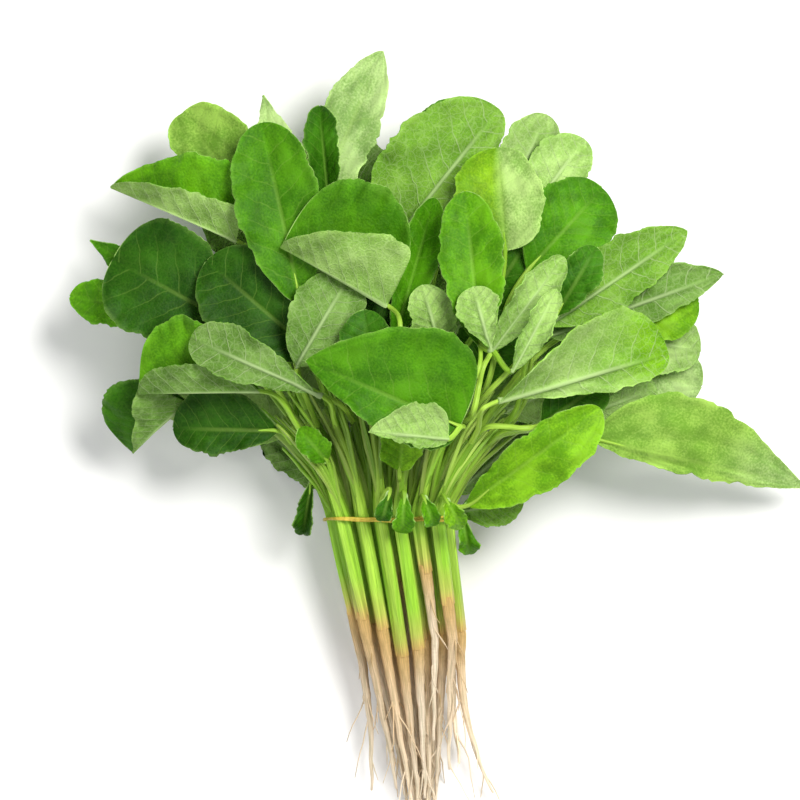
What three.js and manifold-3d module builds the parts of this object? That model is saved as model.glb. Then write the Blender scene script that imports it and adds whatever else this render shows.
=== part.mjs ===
// A tied bunch of leafy greens with its roots on, lying down as it would on a table.
// Millimetres. +Z is up, +Y runs from the roots to the leaf tips, +X is to the right seen from above.
// The origin is on the surface, below the middle of the bunch.
//
// The bunch is 24 plants. Each plant is a green shoot (stem, leaf stalks and blades grown as one)
// and a tan root, and one thin rubber band holds all the stems.

import * as THREE from "three";
import { mergeVertices } from "three/addons/utils/BufferGeometryUtils.js";
import Module from "manifold-3d";

const wasm = await Module();
wasm.setup();

const DEGREE = Math.PI / 180;

// The tied neck: plants stand in four rows, A on top and D nearest the surface.
// "reach" is how far past the band the stem itself goes before it is only leaf stalks.
const TIE = { x: -18.8, y: -31.6, z: 34 };
const PLANT_SPACING = 7.6;
const ROWS = {
  A: { count: 6, height: 11.1, reach: 40 },
  B: { count: 7, height: 3.7, reach: 50 },
  C: { count: 6, height: -3.7, reach: 48 },
  D: { count: 5, height: -11.1, reach: 42 },
};
const STEM_RADIUS = 3.05;
const STEM_END_RADIUS = 1.5;
const CROWN_RADIUS = 2.9;
const STEM_SIDES = 6;
const STEM_STEPS = 7;
const FAN_DEGREES_PER_PLACE = 16.7;
const FAN_STARTS_AT = 0.3;
const FAN_OPENS_OVER = 45;
const FAN_STEPS = 24;
const ROW_SPREAD_PER_MM = 0.009;

// The sheet that the fan of stems follows: up from the neck, flat at the middle, drooping at the rim
const FAN_TOP = { x: -12, y: 60, z: 52 };
const FAR_DROOP = 10 / 100 ** 2;
const SIDE_DROOP = 14 / 120 ** 2;

// The canopy of leaves, an ellipse seen from above, and how far each row's blades start over or under the fan
const CANOPY = { x: -19, y: 66, halfWidth: 132, halfLength: 92 };
const SWELL_OVER = { A: 20, B: 8, C: 3, D: 0 };
const SWELL_UNDER = { A: 0, B: 0, C: 10, D: 24 };

// Crowns, where green turns to tan, and the roots below them
const CROWN = { x: -11, y: -80, z: 22.5, squeeze: 0.91 };
const ROOT_END = { x: -5, y: -157, z: 4.05, squeeze: 0.3 };
const ROOT_GAP = 0.55;
const ROOT_SIDES = 5;
const ROOT_STEPS = 5;
const ROOT_RADIUS = 2.84;
const ROOT_TIP_RADIUS = 0.75;
const ROOT_TAPER = 0.7;
const ROOT_ROOM = 0.43 * PLANT_SPACING;
const CROWN_Y = {
  A1: -72, A2: -76, A3: -87, A4: -84, A5: -53, A6: -66,
  B1: -70, B2: -77, B3: -82, B4: -56, B5: -80, B6: -78, B7: -77,
  C1: -66, C2: -80, C3: -72, C4: -84, C5: -76, C6: -70,
  D1: -75, D2: -82, D3: -70, D4: -86, D5: -73,
};
const ROOT_ENDS_AT = {
  A1: -142, A2: -150, A3: -154, A4: -146, A5: -122, A6: -134,
  B1: -143, B2: -138, B3: -149, B4: -128, B5: -157, B6: -141, B7: -144,
  C1: -131, C2: -152, C3: -140, C4: -155, C5: -147, C6: -132,
  D1: -146, D2: -157, D3: -157, D4: -157, D5: -150,
};
const ROOT_STRAY = { B1: -11, B7: 20, C6: 7, A1: -2, A6: 3 };

// Blades and stalks
const BLADE_THICKNESS = 0.7;
const STALK_RADIUS = 1.25;
const STALK_TIP_RADIUS = 0.85;
const STALK_SIDES = 4;
const STALK_STEPS = 4;
const STALK_HIDDEN = 10;
const STALK_ROOTED = 1.5;
const STALK_INTO_BLADE = 0.55;
const STALK_BEND = 0.36;
const STALK_SAMPLES = 8;
const STEMS_END = 46;
const U = [0, 0.13, 0.31, 0.5, 0.69, 0.87, 1];
const V = [-1, -0.5, 0, 0.5, 1];
const MIDDLE = 2;
const WAVES_PER_SIDE = 2.1;
const RIGHT_SIDE_PHASE = 0.37;
const PHASE_STEP = 0.61;
const FORMS = {
  oval: [0.7, 0.5], tipWide: [1.2, 0.45], baseWide: [0.32, 0.8], blunt: [0.3, 0.3], egg: [0.6, 0.8],
  round: [0.35, 0.45], long: [0.7, 0.75], pointed: [0.6, 1.1], tail: [0.65, 1.2], wedge: [0.1, 1.3],
  fan: [0.1, 0.5],
};

// Each leaf lies over (or, below the fan, under) the leaves placed before it, with this clearance.
// A map of square cells keeps how high those leaves reach.
const CLEARANCE = 1;
const MAP = { x0: -170, y0: -80, cell: 2, columns: 170, rows: 130 };
const SAMPLES_PER_EDGE = 8;
const LEAST_SHARE = 0.05;
const SMOOTHING_ROUNDS = 12;
const SETTLING_ROUNDS = 3;

// A blade that comes nearer the surface than this lies flat on it
const LIES_FLAT_BELOW = 4;

const BAND = { width: 2.2, thickness: 1.0, clearance: 0.5, corners: 12 };

const GREEN = new THREE.MeshStandardMaterial({ color: 0x5b9c22, roughness: 0.5, metalness: 0 });
const TAN = new THREE.MeshStandardMaterial({ color: 0xd6b882, roughness: 0.8, metalness: 0 });
const RUBBER = new THREE.MeshStandardMaterial({ color: 0xd9a441, roughness: 0.6, metalness: 0 });

// The leaves, in the order in which they are laid. A row says: the plant; where on its stem the stalk
// leaves (1 is the stem's end); where the blade starts and where its tip is, seen from above; then
// left and right half widths, fold angles [at the base, at the tip] (over 90 the half lies over the
// blade), arch, lift [base, tip], and the form of the outline, or one form for each half.
const OVER = [
  ["C1", 1.0, [-96, 54], [-140, 81], { left: 9, right: 8, form: "pointed" }],
  ["C1", 0.7, [-98, 50], [-148, 58], { left: 9.5, right: 10 }],
  ["C2", 1.0, [-66, 84], [-103, 132], { left: 14, right: 18, form: "blunt" }],
  ["C2", 0.8, [-60, 100], [-70, 139], { left: 7, right: 8, form: "pointed" }],
  ["C3", 1.0, [-50, 90], [-22, 157], { left: 14, right: 12, arch: 4, form: "long" }],
  ["C3", 0.8, [-43, 92], [-47, 134], { left: 10, right: 9, foldLeft: [50, 40], foldRight: [50, 40] }],
  ["C4", 1.0, [-17, 90], [14, 136], { left: 15, right: 14 }],
  ["C4", 0.8, [-17, 80], [25, 133], { left: 27, right: 13, form: "round" }],
  ["C5", 1.0, [22, 84], [44, 131], { left: 12, right: 12 }],
  ["C5", 0.8, [32, 84], [59, 121], { left: 14, right: 11 }],
  ["C6", 1.0, [72, 30], [107, 22], { left: 14, right: 10 }],
  ["C6", 0.85, [66, 44], [106, 36], { left: 13, right: 12 }],
  ["C6", 0.7, [64, 47], [105, 56], { left: 13, right: 13 }],
  ["B5", 1.0, [17, 50], [40, 86], { left: 15, right: 14 }],
  ["B5", 0.9, [13, 20], [28, 51], { left: 14, right: 14 }],
  ["B6", 1.0, [36, 68], [66, 101], { left: 17, right: 17 }],
  ["B5", 0.9, [27, 76], [24, 117], { left: 20, right: 18, form: "round", foldRight: [20, 25] }],
  ["B7", 1.0, [45, 42], [115, 67], { left: 15, right: 9, foldLeft: [20, 15], form: "egg" }],
  ["B7", 0.85, [44, 46], [100, 84], { left: 15, right: 11, foldLeft: [20, 15], form: "long" }],
  ["B6", 0.85, [47, 50], [63, 77], { left: 8, right: 8 }],
  ["B6", 0.85, [22, 36], [50, 73], { left: 9, right: 8, foldLeft: [35, 35], foldRight: [30, 30] }],
  ["B6", 0.85, [30, 28], [47, 60], { left: 6, right: 7, foldLeft: [35, 35], foldRight: [30, 30],
    onLast: true }],
  ["B7", 0.7, [47, 6], [88, 21], { left: 15, right: 12 }],
  ["B7", 0.7, [62, 1], [151, -19], { left: 26, right: 6, foldLeft: [8, 8], arch: 6, form: ["tail", "egg"] }],
  ["B1", 1.0, [-101, 16], [-123, -5], { left: 22, right: 25, foldLeft: [138, 145],
    form: ["wedge", "blunt"] }],
  ["B2", 1.0, [-66, 38], [-130, 73], { left: 23, right: 26, form: "tipWide" }],
  ["B2", 0.8, [-80, 80], [-131, 102], { left: 15, right: 28, foldLeft: [148, 125],
    form: ["fan", "baseWide"] }],
  ["B3", 1.0, [-48, 34], [-92, 72], { left: 20, right: 20 }],
  ["B3", 0.85, [-54, 54], [-70, 127], { left: 18, right: 17, foldLeft: [10, 10], foldRight: [15, 15] }],
  ["B4", 1.0, [-20, 22], [-33, 66], { left: 18, right: 18 }],
  ["B4", 0.8, [-17, 40], [-1, 97], { left: 10, right: 10, foldLeft: [40, 40], foldRight: [35, 35] }],
  ["B5", 0.8, [2, 34], [-6, 62], { left: 9, right: 10 }],
  ["B3", 0.8, [-56, 30], [-34, 67], { left: 15, right: 14 }],
  ["B4", 0.8, [-26, 16], [-29, 52], { left: 13, right: 13, form: "round" }],
  ["B1", 0.7, [-64, 4], [-106, 5], { left: 10, right: 17 }],
  ["B7", 0.1, [9, -29], [35, -23], { left: 8, right: 9 }],
  ["B7", 0.1, [10.5, -31], [13.5, -46], { left: 4.5, right: 4, foldLeft: [40, 30], onLast: true }],
  ["B1", 0.16, [-50.5, -17], [-54, -38], { left: 5.5, right: 6.5, foldLeft: [60, 60], foldRight: [40, 50] }],
  ["A6", 1.0, [42, 7], [67, 24], { left: 12, right: 11 }],
  ["A6", 0.85, [24, 16], [92, 35], { left: 23, right: 9, form: "tipWide", foldLeft: [10, 5] }],
  ["A6", 0.12, [12, -26], [65, 13], { left: 10, right: 15, foldLeft: [20, 12], lift: [7, 0] }],
  ["A1", 1.0, [-71, 20], [-119, 19], { left: 14.5, right: 31, foldLeft: [150, 135] }],
  ["A2", 1.0, [-46, 18], [-98, 41], { left: 9.5, right: 12, form: "tipWide" }],
  ["A1", 0.6, [-44, -8], [-55, 5], { left: 6, right: 6 }],
  ["A3", 1.0, [-20, 54], [-62, 77], { left: 28, right: 41, foldLeft: [158, 125], form: ["fan", "blunt"] }],
  ["A5", 1.0, [17, 38], [11, 99], { left: 13, right: 13, foldLeft: [12, 12], foldRight: [12, 12] }],
  ["A5", 0.6, [21, 36], [14, 61], { left: 9, right: 8, form: "tipWide", onLast: true }],
  ["A4", 0.3, [-15, -12], [-13, 13], { left: 9, right: 9 }],
  ["A4", 0.12, [-13, -22], [-14, -37], { left: 4.5, right: 4, lift: [15, 21], wave: 0.8 }],
  ["A4", 1.0, [9, 6], [-52, 32], { left: 15, right: 33, form: "baseWide", arch: 8 }],
  ["A4", 0.8, [4, 1], [-27, 4], { left: 4, right: 15, foldRight: [25, 15], form: "baseWide", onLast: true }],
];
const UNDER = [
  ["C1", 0.8, [-62, 32], [-112, 66], { left: 22, right: 22, lift: [0, 6] }],
  ["C2", 0.7, [-45, 56], [-90, 108], { left: 22, right: 22, lift: [0, 6] }],
  ["C3", 0.7, [-25, 70], [-45, 124], { left: 23, right: 23, lift: [0, 6] }],
  ["C4", 0.7, [0, 70], [12, 122], { left: 23, right: 22, lift: [0, 6] }],
  ["C5", 0.7, [26, 56], [57, 102], { left: 22, right: 20, lift: [0, 6] }],
  ["C6", 0.55, [42, 32], [92, 58], { left: 20, right: 20, lift: [0, 6] }],
  ["D3", 1.0, [-20, 42], [-27, 100], { left: 22, right: 22, lift: [0, 9] }],
  ["D2", 1.0, [-42, 32], [-80, 84], { left: 22, right: 21, lift: [0, 9] }],
  ["D4", 1.0, [4, 38], [34, 90], { left: 21, right: 22, lift: [0, 9] }],
  ["D1", 1.0, [-58, 5], [-116, 28], { left: 19, right: 22, lift: [2, 22] }],
  ["D5", 1.0, [28, 12], [86, 38], { left: 20, right: 20, lift: [2, 24] }],
  ["D2", 0.7, [-38, 3], [-78, 46], { left: 21, right: 21, lift: [6, 21] }],
  ["D4", 0.7, [6, 6], [46, 56], { left: 21, right: 21, lift: [6, 22] }],
  ["D3", 0.7, [-18, 8], [-24, 60], { left: 21, right: 21, lift: [6, 20] }],
  ["D1", 0.15, [-42, -20], [-72, 6], { left: 9, right: 9 }],
];

const add = (a, b, k = 1) => a.clone().addScaledVector(b, k);
const mix = (a, b, t) => a + (b - a) * t;

// Heights of the fan and of the canopy over a place on the surface
function fanHeight(x, y) {
  const towardsTie = (y - FAN_TOP.y) / (TIE.y - FAN_TOP.y);
  const drop = y < FAN_TOP.y ? (FAN_TOP.z - TIE.z) * towardsTie ** 2 : FAR_DROOP * (y - FAN_TOP.y) ** 2;
  return FAN_TOP.z - drop - SIDE_DROOP * (x - FAN_TOP.x) ** 2;
}

function dome(x, y) {
  const across = (x - CANOPY.x) / CANOPY.halfWidth;
  const along = (y - CANOPY.y) / CANOPY.halfLength;
  return Math.sqrt(Math.max(0, 1 - across ** 2 - along ** 2));
}

// Where a plant stands in the neck
function placeOf(plant) {
  const row = ROWS[plant[0]];
  return { row, place: Number(plant[1]) - 1 - (row.count - 1) / 2 };
}

// The bundle's centre line and squeeze at a y below the band
function bundleAt(y) {
  const [from, to] = y > CROWN.y ? [{ ...TIE, squeeze: 1 }, CROWN] : [CROWN, ROOT_END];
  const t = (y - from.y) / (to.y - from.y);
  return { x: mix(from.x, to.x, t), z: mix(from.z, to.z, t), squeeze: mix(from.squeeze, to.squeeze, t) };
}

function belowTie(plant, y) {
  const { row, place } = placeOf(plant);
  const centre = bundleAt(y);
  const x = centre.x + place * PLANT_SPACING * centre.squeeze;
  return new THREE.Vector3(x, y, centre.z + row.height * centre.squeeze);
}

function aboveTie(plant, distance) {
  const { row, place } = placeOf(plant);
  const steps = FAN_STEPS;
  let x = TIE.x + place * PLANT_SPACING;
  let y = TIE.y;
  for (let i = 0; i < steps; i += 1) {
    const s = (distance * (i + 0.5)) / steps;
    const opened = FAN_STARTS_AT + (1 - FAN_STARTS_AT) * Math.min(1, s / FAN_OPENS_OVER);
    const angle = place * FAN_DEGREES_PER_PLACE * DEGREE * opened;
    x += (Math.sin(angle) * distance) / steps;
    y += (Math.cos(angle) * distance) / steps;
  }
  return new THREE.Vector3(x, y, fanHeight(x, y) + row.height * (1 + ROW_SPREAD_PER_MM * distance));
}

function stemDirection(plant, distance) {
  return aboveTie(plant, distance + 1).sub(aboveTie(plant, distance - 1)).normalize();
}

// A closed tapering tube through points, with a flat cap at each end
function tube(points, radii, sides) {
  const positions = [];
  const indices = [];
  const side = new THREE.Vector3();
  let before = null;
  points.forEach((point, i) => {
    const next = points[Math.min(i + 1, points.length - 1)];
    const last = points[Math.max(i - 1, 0)];
    const tangent = next.clone().sub(last).normalize();
    if (before) {
      side.applyQuaternion(new THREE.Quaternion().setFromUnitVectors(before, tangent));
    } else {
      side.set(tangent.y, -tangent.x, tangent.x === 0 && tangent.y === 0 ? 1 : 0).normalize();
    }
    before = tangent;
    const other = tangent.clone().cross(side);
    for (let j = 0; j < sides; j += 1) {
      const angle = (2 * Math.PI * (j + 0.5)) / sides;
      const rim = add(add(point, side, radii[i] * Math.cos(angle)), other, radii[i] * Math.sin(angle));
      positions.push(rim.x, rim.y, rim.z);
    }
  });
  for (let i = 0; i + 1 < points.length; i += 1) {
    for (let j = 0; j < sides; j += 1) {
      const a = i * sides + j;
      const b = i * sides + ((j + 1) % sides);
      indices.push(a, b, b + sides, a, b + sides, a + sides);
    }
  }
  const end = (points.length - 1) * sides;
  for (let j = 1; j + 1 < sides; j += 1) {
    indices.push(0, j + 1, j);
    indices.push(end, end + j, end + j + 1);
  }
  return closedGeometry(positions, indices);
}

// A geometry whose faces point out, whichever way round they were listed
function closedGeometry(positions, indices) {
  let volume = 0;
  const at = (i) => new THREE.Vector3().fromArray(positions, 3 * i);
  for (let i = 0; i < indices.length; i += 3) {
    volume += at(indices[i]).dot(at(indices[i + 1]).cross(at(indices[i + 2])));
  }
  const facing = volume < 0 ? indices.slice().reverse() : indices;
  const geometry = new THREE.BufferGeometry();
  geometry.setAttribute("position", new THREE.Float32BufferAttribute(positions, 3));
  geometry.setIndex(facing);
  return geometry;
}

// A map of how high (side +1) or how low (side -1) the things placed so far reach
class HeightMap {
  constructor(side) {
    this.side = side;
    this.cells = new Float64Array(MAP.columns * MAP.rows).fill(-Infinity);
  }

  mark(x, y, z) {
    const column = Math.floor((x - MAP.x0) / MAP.cell);
    const row = Math.floor((y - MAP.y0) / MAP.cell);
    const index = row * MAP.columns + column;
    this.cells[index] = Math.max(this.cells[index], z * this.side);
  }

  around(x, y) {
    const column = Math.floor((x - MAP.x0) / MAP.cell);
    const row = Math.floor((y - MAP.y0) / MAP.cell);
    let highest = -Infinity;
    for (let r = row - 1; r <= row + 1; r += 1) {
      for (let c = column - 1; c <= column + 1; c += 1) {
        highest = Math.max(highest, this.cells[r * MAP.columns + c]);
      }
    }
    return highest;
  }

  markTube(points, radii) {
    for (let i = 0; i + 1 < points.length; i += 1) {
      const steps = Math.ceil(points[i].distanceTo(points[i + 1]));
      for (let s = 0; s <= steps; s += 1) {
        const p = points[i].clone().lerp(points[i + 1], s / steps);
        const radius = mix(radii[i], radii[i + 1], s / steps);
        for (const offset of [-radius, 0, radius]) {
          this.mark(p.x + offset, p.y, p.z + this.side * radius);
        }
      }
    }
  }
}

// The flat triangles of a blade's grid: its two ends are single points
const GRID = [];
for (let i = 0; i + 1 < U.length; i += 1) {
  for (let j = 0; j + 1 < V.length; j += 1) {
    const at = (a, b) => (a === 0 || a === U.length - 1 ? a * V.length + MIDDLE : a * V.length + b);
    const [a, b, c, d] = [at(i, j), at(i, j + 1), at(i + 1, j + 1), at(i + 1, j)];
    if (a === b) {
      GRID.push([a, c, d]);
    } else if (c === d) {
      GRID.push([a, b, c]);
    } else if (j < MIDDLE) {
      GRID.push([a, b, c], [a, c, d]);
    } else {
      GRID.push([a, b, d], [b, c, d]);
    }
  }
}

function outline(u, form) {
  const [alpha, beta] = FORMS[form];
  const widest = alpha / (alpha + beta);
  return (u ** alpha * (1 - u) ** beta) / (widest ** alpha * (1 - widest) ** beta);
}

// One half of a blade across its width: it leaves the midrib at an angle and curls as it goes
function halfSection(width, v, fold, curl) {
  const start = (fold - curl) * DEGREE;
  const turn = 2 * curl * DEGREE * v;
  if (Math.abs(turn) < 1e-3) {
    return [width * v * Math.cos(start), width * v * Math.sin(start)];
  }
  const radius = (width * v) / turn;
  return [
    radius * (Math.sin(start + turn) - Math.sin(start)),
    radius * (Math.cos(start) - Math.cos(start + turn)),
  ];
}

// The blade's grid before it is laid on the leaves below it
function bladeGrid(leaf) {
  const swell = (x, y) => fanHeight(x, y) + leaf.side * leaf.swell * dome(x, y);
  const base = new THREE.Vector3(...leaf.base, swell(...leaf.base) + leaf.side * leaf.lift[0]);
  const tip = new THREE.Vector3(...leaf.tip, swell(...leaf.tip) + leaf.side * leaf.lift[1]);
  const chord = tip.clone().sub(base);
  const along = chord.clone().normalize();
  const left = new THREE.Vector3(0, 0, 1).cross(along).normalize();
  const up = along.clone().cross(left).multiplyScalar(leaf.side);
  const [leftForm, rightForm] = [leaf.form, leaf.form].flat().slice(-2);
  const grid = [];
  for (const u of U) {
    const bow = 4 * u * (1 - u);
    const rib = add(add(base, chord, u), up, leaf.arch * bow);
    for (const v of V) {
      const isLeft = v > 0;
      const width = isLeft ? leaf.left * outline(u, leftForm) : leaf.right * outline(u, rightForm);
      const [foldBase, foldTip] = isLeft ? leaf.foldLeft : leaf.foldRight;
      const [out, rise] = halfSection(width, Math.abs(v), mix(foldBase, foldTip, u), leaf.curl);
      const phase = leaf.phase + (isLeft ? 0 : RIGHT_SIDE_PHASE);
      const ripple = leaf.wave * v * v * Math.sqrt(bow) * Math.sin(2 * Math.PI * (WAVES_PER_SIDE * u + phase));
      grid.push(add(add(rib, left, Math.sign(v) * out), up, rise + ripple));
    }
  }
  return grid;
}

// Lifts a blade clear of what the map holds, bending it smoothly. A blade with one half folded over
// the other keeps the shape of its cross-sections, so that the two halves stay clear of each other.
function settleBlade(grid, map, keepsSections) {
  const columns = V.length;
  for (let round = 0; round < SETTLING_ROUNDS; round += 1) {
    const lack = new Array(grid.length).fill(0);
    for (const [a, b, c] of GRID) {
      for (let i = 0; i <= SAMPLES_PER_EDGE; i += 1) {
        for (let j = 0; i + j <= SAMPLES_PER_EDGE; j += 1) {
          const [wa, wb] = [i / SAMPLES_PER_EDGE, j / SAMPLES_PER_EDGE];
          const wc = 1 - wa - wb;
          const p = grid[a].clone().multiplyScalar(wa)
            .addScaledVector(grid[b], wb).addScaledVector(grid[c], wc);
          const low = p.z * map.side - BLADE_THICKNESS / 2;
          const short = map.around(p.x, p.y) + CLEARANCE - low;
          for (const [index, weight] of [[a, wa], [b, wb], [c, wc]]) {
            if (weight > LEAST_SHARE) lack[index] = Math.max(lack[index], short);
          }
        }
      }
    }
    if (keepsSections) {
      for (let row = 0; row < grid.length; row += columns) {
        lack.fill(Math.max(...lack.slice(row, row + columns)), row, row + columns);
      }
    }
    const ends = [0, grid.length - columns];
    let raise = lack.slice();
    for (let pass = 0; pass < SMOOTHING_ROUNDS; pass += 1) {
      for (const end of ends) raise.fill(raise[end + MIDDLE], end, end + columns);
      const before = raise;
      raise = before.map((own, index) => {
        const row = Math.floor(index / columns);
        const column = index % columns;
        let sum = 0;
        let count = 0;
        for (let r = Math.max(0, row - 1); r <= Math.min(U.length - 1, row + 1); r += 1) {
          for (let c = Math.max(0, column - 1); c <= Math.min(columns - 1, column + 1); c += 1) {
            sum += before[r * columns + c];
            count += 1;
          }
        }
        return Math.max(lack[index], sum / count);
      });
    }
    for (const end of ends) raise.fill(raise[end + MIDDLE], end, end + columns);
    grid.forEach((p, index) => { p.z += map.side * raise[index]; });
  }
}

// The stalk: out of the stem along the stem, over what lies below, and into the blade along its midrib
function stalkPoints(leaf, grid, map, parent) {
  const foot = grid[MIDDLE];
  const inside = foot.clone().lerp(grid[2 * V.length + MIDDLE], STALK_INTO_BLADE);
  if (parent) return [parent, foot, inside];
  const anchor = aboveTie(leaf.plant, leaf.from);
  const start = stemDirection(leaf.plant, leaf.from);
  const finish = inside.clone().sub(foot).normalize();
  const reach = anchor.distanceTo(foot) * STALK_BEND;
  const curve = new THREE.CubicBezierCurve3(anchor, add(anchor, start, reach), add(foot, finish, -reach), foot);
  const points = curve.getPoints(STALK_STEPS);
  for (let round = 0; round < SETTLING_ROUNDS; round += 1) {
    const lack = new Array(points.length).fill(0);
    for (let i = 0; i < STALK_STEPS; i += 1) {
      for (let s = 0; s <= STALK_SAMPLES; s += 1) {
        const p = points[i].clone().lerp(points[i + 1], s / STALK_SAMPLES);
        const amongStems = leaf.plant[0] !== "A" && Math.hypot(p.x - TIE.x, p.y - TIE.y) < STEMS_END;
        if (amongStems || p.distanceTo(anchor) < STALK_HIDDEN) continue;
        const short = map.around(p.x, p.y) + CLEARANCE - (p.z * map.side - STALK_RADIUS);
        if (s < STALK_SAMPLES - 1) lack[i] = Math.max(lack[i], short);
        if (s > 1) lack[i + 1] = Math.max(lack[i + 1], short);
      }
    }
    for (let k = 1; k < STALK_STEPS; k += 1) points[k].z += map.side * lack[k];
  }
  return [...points, inside];
}

function stalkRadii(points) {
  return points.map((_, i) => mix(STALK_RADIUS, STALK_TIP_RADIUS, i / (points.length - 1)));
}

// The blade as a thin closed solid: both faces have the same triangles
function bladeSolid(grid) {
  const normals = grid.map(() => new THREE.Vector3());
  for (const [a, b, c] of GRID) {
    const face = grid[b].clone().sub(grid[a]).cross(grid[c].clone().sub(grid[a]));
    for (const index of [a, b, c]) normals[index].add(face.normalize());
  }
  normals.forEach((n) => n.normalize());
  const positions = [];
  for (const k of [0.5, -0.5]) {
    grid.forEach((p, i) => {
      const skin = add(p, normals[i], k * BLADE_THICKNESS);
      if (skin.z < BLADE_THICKNESS / 2) skin.z = 0;
      positions.push(skin.x, skin.y, skin.z);
    });
  }
  const under = grid.length;
  const edges = new Map();
  const indices = [];
  for (const [a, b, c] of GRID) {
    indices.push(a, b, c, under + c, under + b, under + a);
    for (const [from, to] of [[a, b], [b, c], [c, a]]) edges.set(`${from} ${to}`, [from, to]);
  }
  for (const [from, to] of edges.values()) {
    if (!edges.has(`${to} ${from}`)) {
      indices.push(to, from, under + from, to, under + from, under + to);
    }
  }
  return closedGeometry(positions, indices);
}

// Joins and their conversion to and from solids
function solidOf(geometry) {
  const bare = geometry.clone();
  bare.deleteAttribute("normal");
  bare.deleteAttribute("uv");
  const merged = mergeVertices(bare, 1e-4);
  return new wasm.Manifold(new wasm.Mesh({
    numProp: 3,
    vertProperties: new Float32Array(merged.attributes.position.array),
    triVerts: new Uint32Array(merged.index.array),
  }));
}

function fused(geometries) {
  const solid = geometries.map(solidOf).reduce((all, one) => all.add(one));
  const mesh = solid.getMesh();
  const geometry = new THREE.BufferGeometry();
  geometry.setAttribute("position", new THREE.Float32BufferAttribute(mesh.vertProperties, 3));
  geometry.setIndex(Array.from(mesh.triVerts));
  return geometry;
}

function namedMesh(name, geometry, material) {
  const mesh = new THREE.Mesh(geometry, material);
  mesh.name = name;
  return mesh;
}

// Stems
function stemOf(plant) {
  const { row } = placeOf(plant);
  const points = [];
  const radii = [];
  const crownY = CROWN_Y[plant];
  for (const y of [crownY, mix(crownY, TIE.y, 0.5), TIE.y - 5]) {
    points.push(belowTie(plant, y));
    radii.push(y === crownY ? CROWN_RADIUS : STEM_RADIUS);
  }
  for (let i = 0; i < STEM_STEPS - 3; i += 1) {
    const distance = (row.reach * i) / (STEM_STEPS - 4);
    points.push(aboveTie(plant, distance));
    radii.push(mix(STEM_RADIUS, STEM_END_RADIUS, distance / row.reach));
  }
  return { points, radii };
}

// Roots
function rootOf(plant) {
  const from = CROWN_Y[plant] - ROOT_GAP;
  const to = ROOT_ENDS_AT[plant];
  const points = [];
  const radii = [];
  for (let i = 0; i <= ROOT_STEPS; i += 1) {
    const t = i / ROOT_STEPS;
    const y = mix(from, to, t);
    const point = belowTie(plant, y);
    point.x += (ROOT_STRAY[plant] ?? 0) * t * t;
    points.push(point);
    radii.push(Math.min(ROOT_ROOM * bundleAt(y).squeeze, mix(ROOT_RADIUS, ROOT_TIP_RADIUS, t ** ROOT_TAPER)));
  }
  return tube(points, radii, ROOT_SIDES);
}

// The band: a loop round the outside of all the stems at the neck
function bandLoop(offset) {
  const spots = [];
  for (const plant of Object.keys(CROWN_Y)) {
    for (const centre of [belowTie(plant, TIE.y - BAND.width / 2), aboveTie(plant, BAND.width / 2)]) {
      for (let i = 0; i < BAND.corners; i += 1) {
        const angle = (2 * Math.PI * i) / BAND.corners;
        const radius = STEM_RADIUS + offset;
        spots.push([centre.x + radius * Math.cos(angle), centre.z + radius * Math.sin(angle)]);
      }
    }
  }
  spots.sort((p, q) => p[0] - q[0] || p[1] - q[1]);
  const chain = (list) => {
    const hull = [];
    for (const p of list) {
      while (hull.length > 1) {
        const [a, b] = hull.slice(-2);
        if ((b[0] - a[0]) * (p[1] - a[1]) - (b[1] - a[1]) * (p[0] - a[0]) > 1e-6) break;
        hull.pop();
      }
      hull.push(p);
    }
    return hull.slice(0, -1);
  };
  return [...chain(spots), ...chain(spots.slice().reverse())];
}

function band() {
  const toPoints = (loop) => loop.map(([x, z]) => new THREE.Vector2(x, z));
  const shape = new THREE.Shape(toPoints(bandLoop(BAND.clearance + BAND.thickness)));
  shape.holes.push(new THREE.Path(toPoints(bandLoop(BAND.clearance))));
  const geometry = new THREE.ExtrudeGeometry(shape, { depth: BAND.width, bevelEnabled: false });
  geometry.rotateX(Math.PI / 2);
  geometry.translate(0, TIE.y + BAND.width / 2, 0);
  return geometry;
}

// Laying the leaves, in order, over and under the fan
function readLeaf([plant, where, base, tip, shape], order, side) {
  const row = plant[0];
  const swell = side > 0 ? SWELL_OVER[row] : SWELL_UNDER[row];
  const usual = {
    left: 15, right: 15, foldLeft: [12, 8], foldRight: [12, 8], curl: 14, arch: 5,
    lift: [0, 0], wave: 1.5, form: "oval", onLast: false, phase: (order * PHASE_STEP) % 1,
  };
  const leaf = { ...usual, ...shape, plant, base, tip, side, swell };
  leaf.from = Math.min(where * ROWS[row].reach, ROWS[row].reach - STALK_ROOTED);
  return leaf;
}

function layLeaves(table, map, lastRow, placed) {
  let stemsAreIn = false;
  table.forEach((line, order) => {
    const leaf = readLeaf(line, order, map.side);
    if (!stemsAreIn && leaf.plant[0] === lastRow) {
      for (const plant of Object.keys(CROWN_Y)) {
        const { points, radii } = stemOf(plant);
        map.markTube(points, radii);
      }
      stemsAreIn = true;
    }
    const grid = bladeGrid(leaf);
    settleBlade(grid, map, Math.max(...leaf.foldLeft, ...leaf.foldRight) > 90);
    for (const p of grid) {
      if (p.z < LIES_FLAT_BELOW) p.z = BLADE_THICKNESS / 2;
    }
    const parent = leaf.onLast ? placed[placed.length - 1].grid[MIDDLE] : null;
    const stalk = stalkPoints(leaf, grid, map, parent);
    map.markTube(stalk, stalkRadii(stalk));
    markBlade(grid, map);
    placed.push({ leaf, grid, stalk });
  });
}

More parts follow.
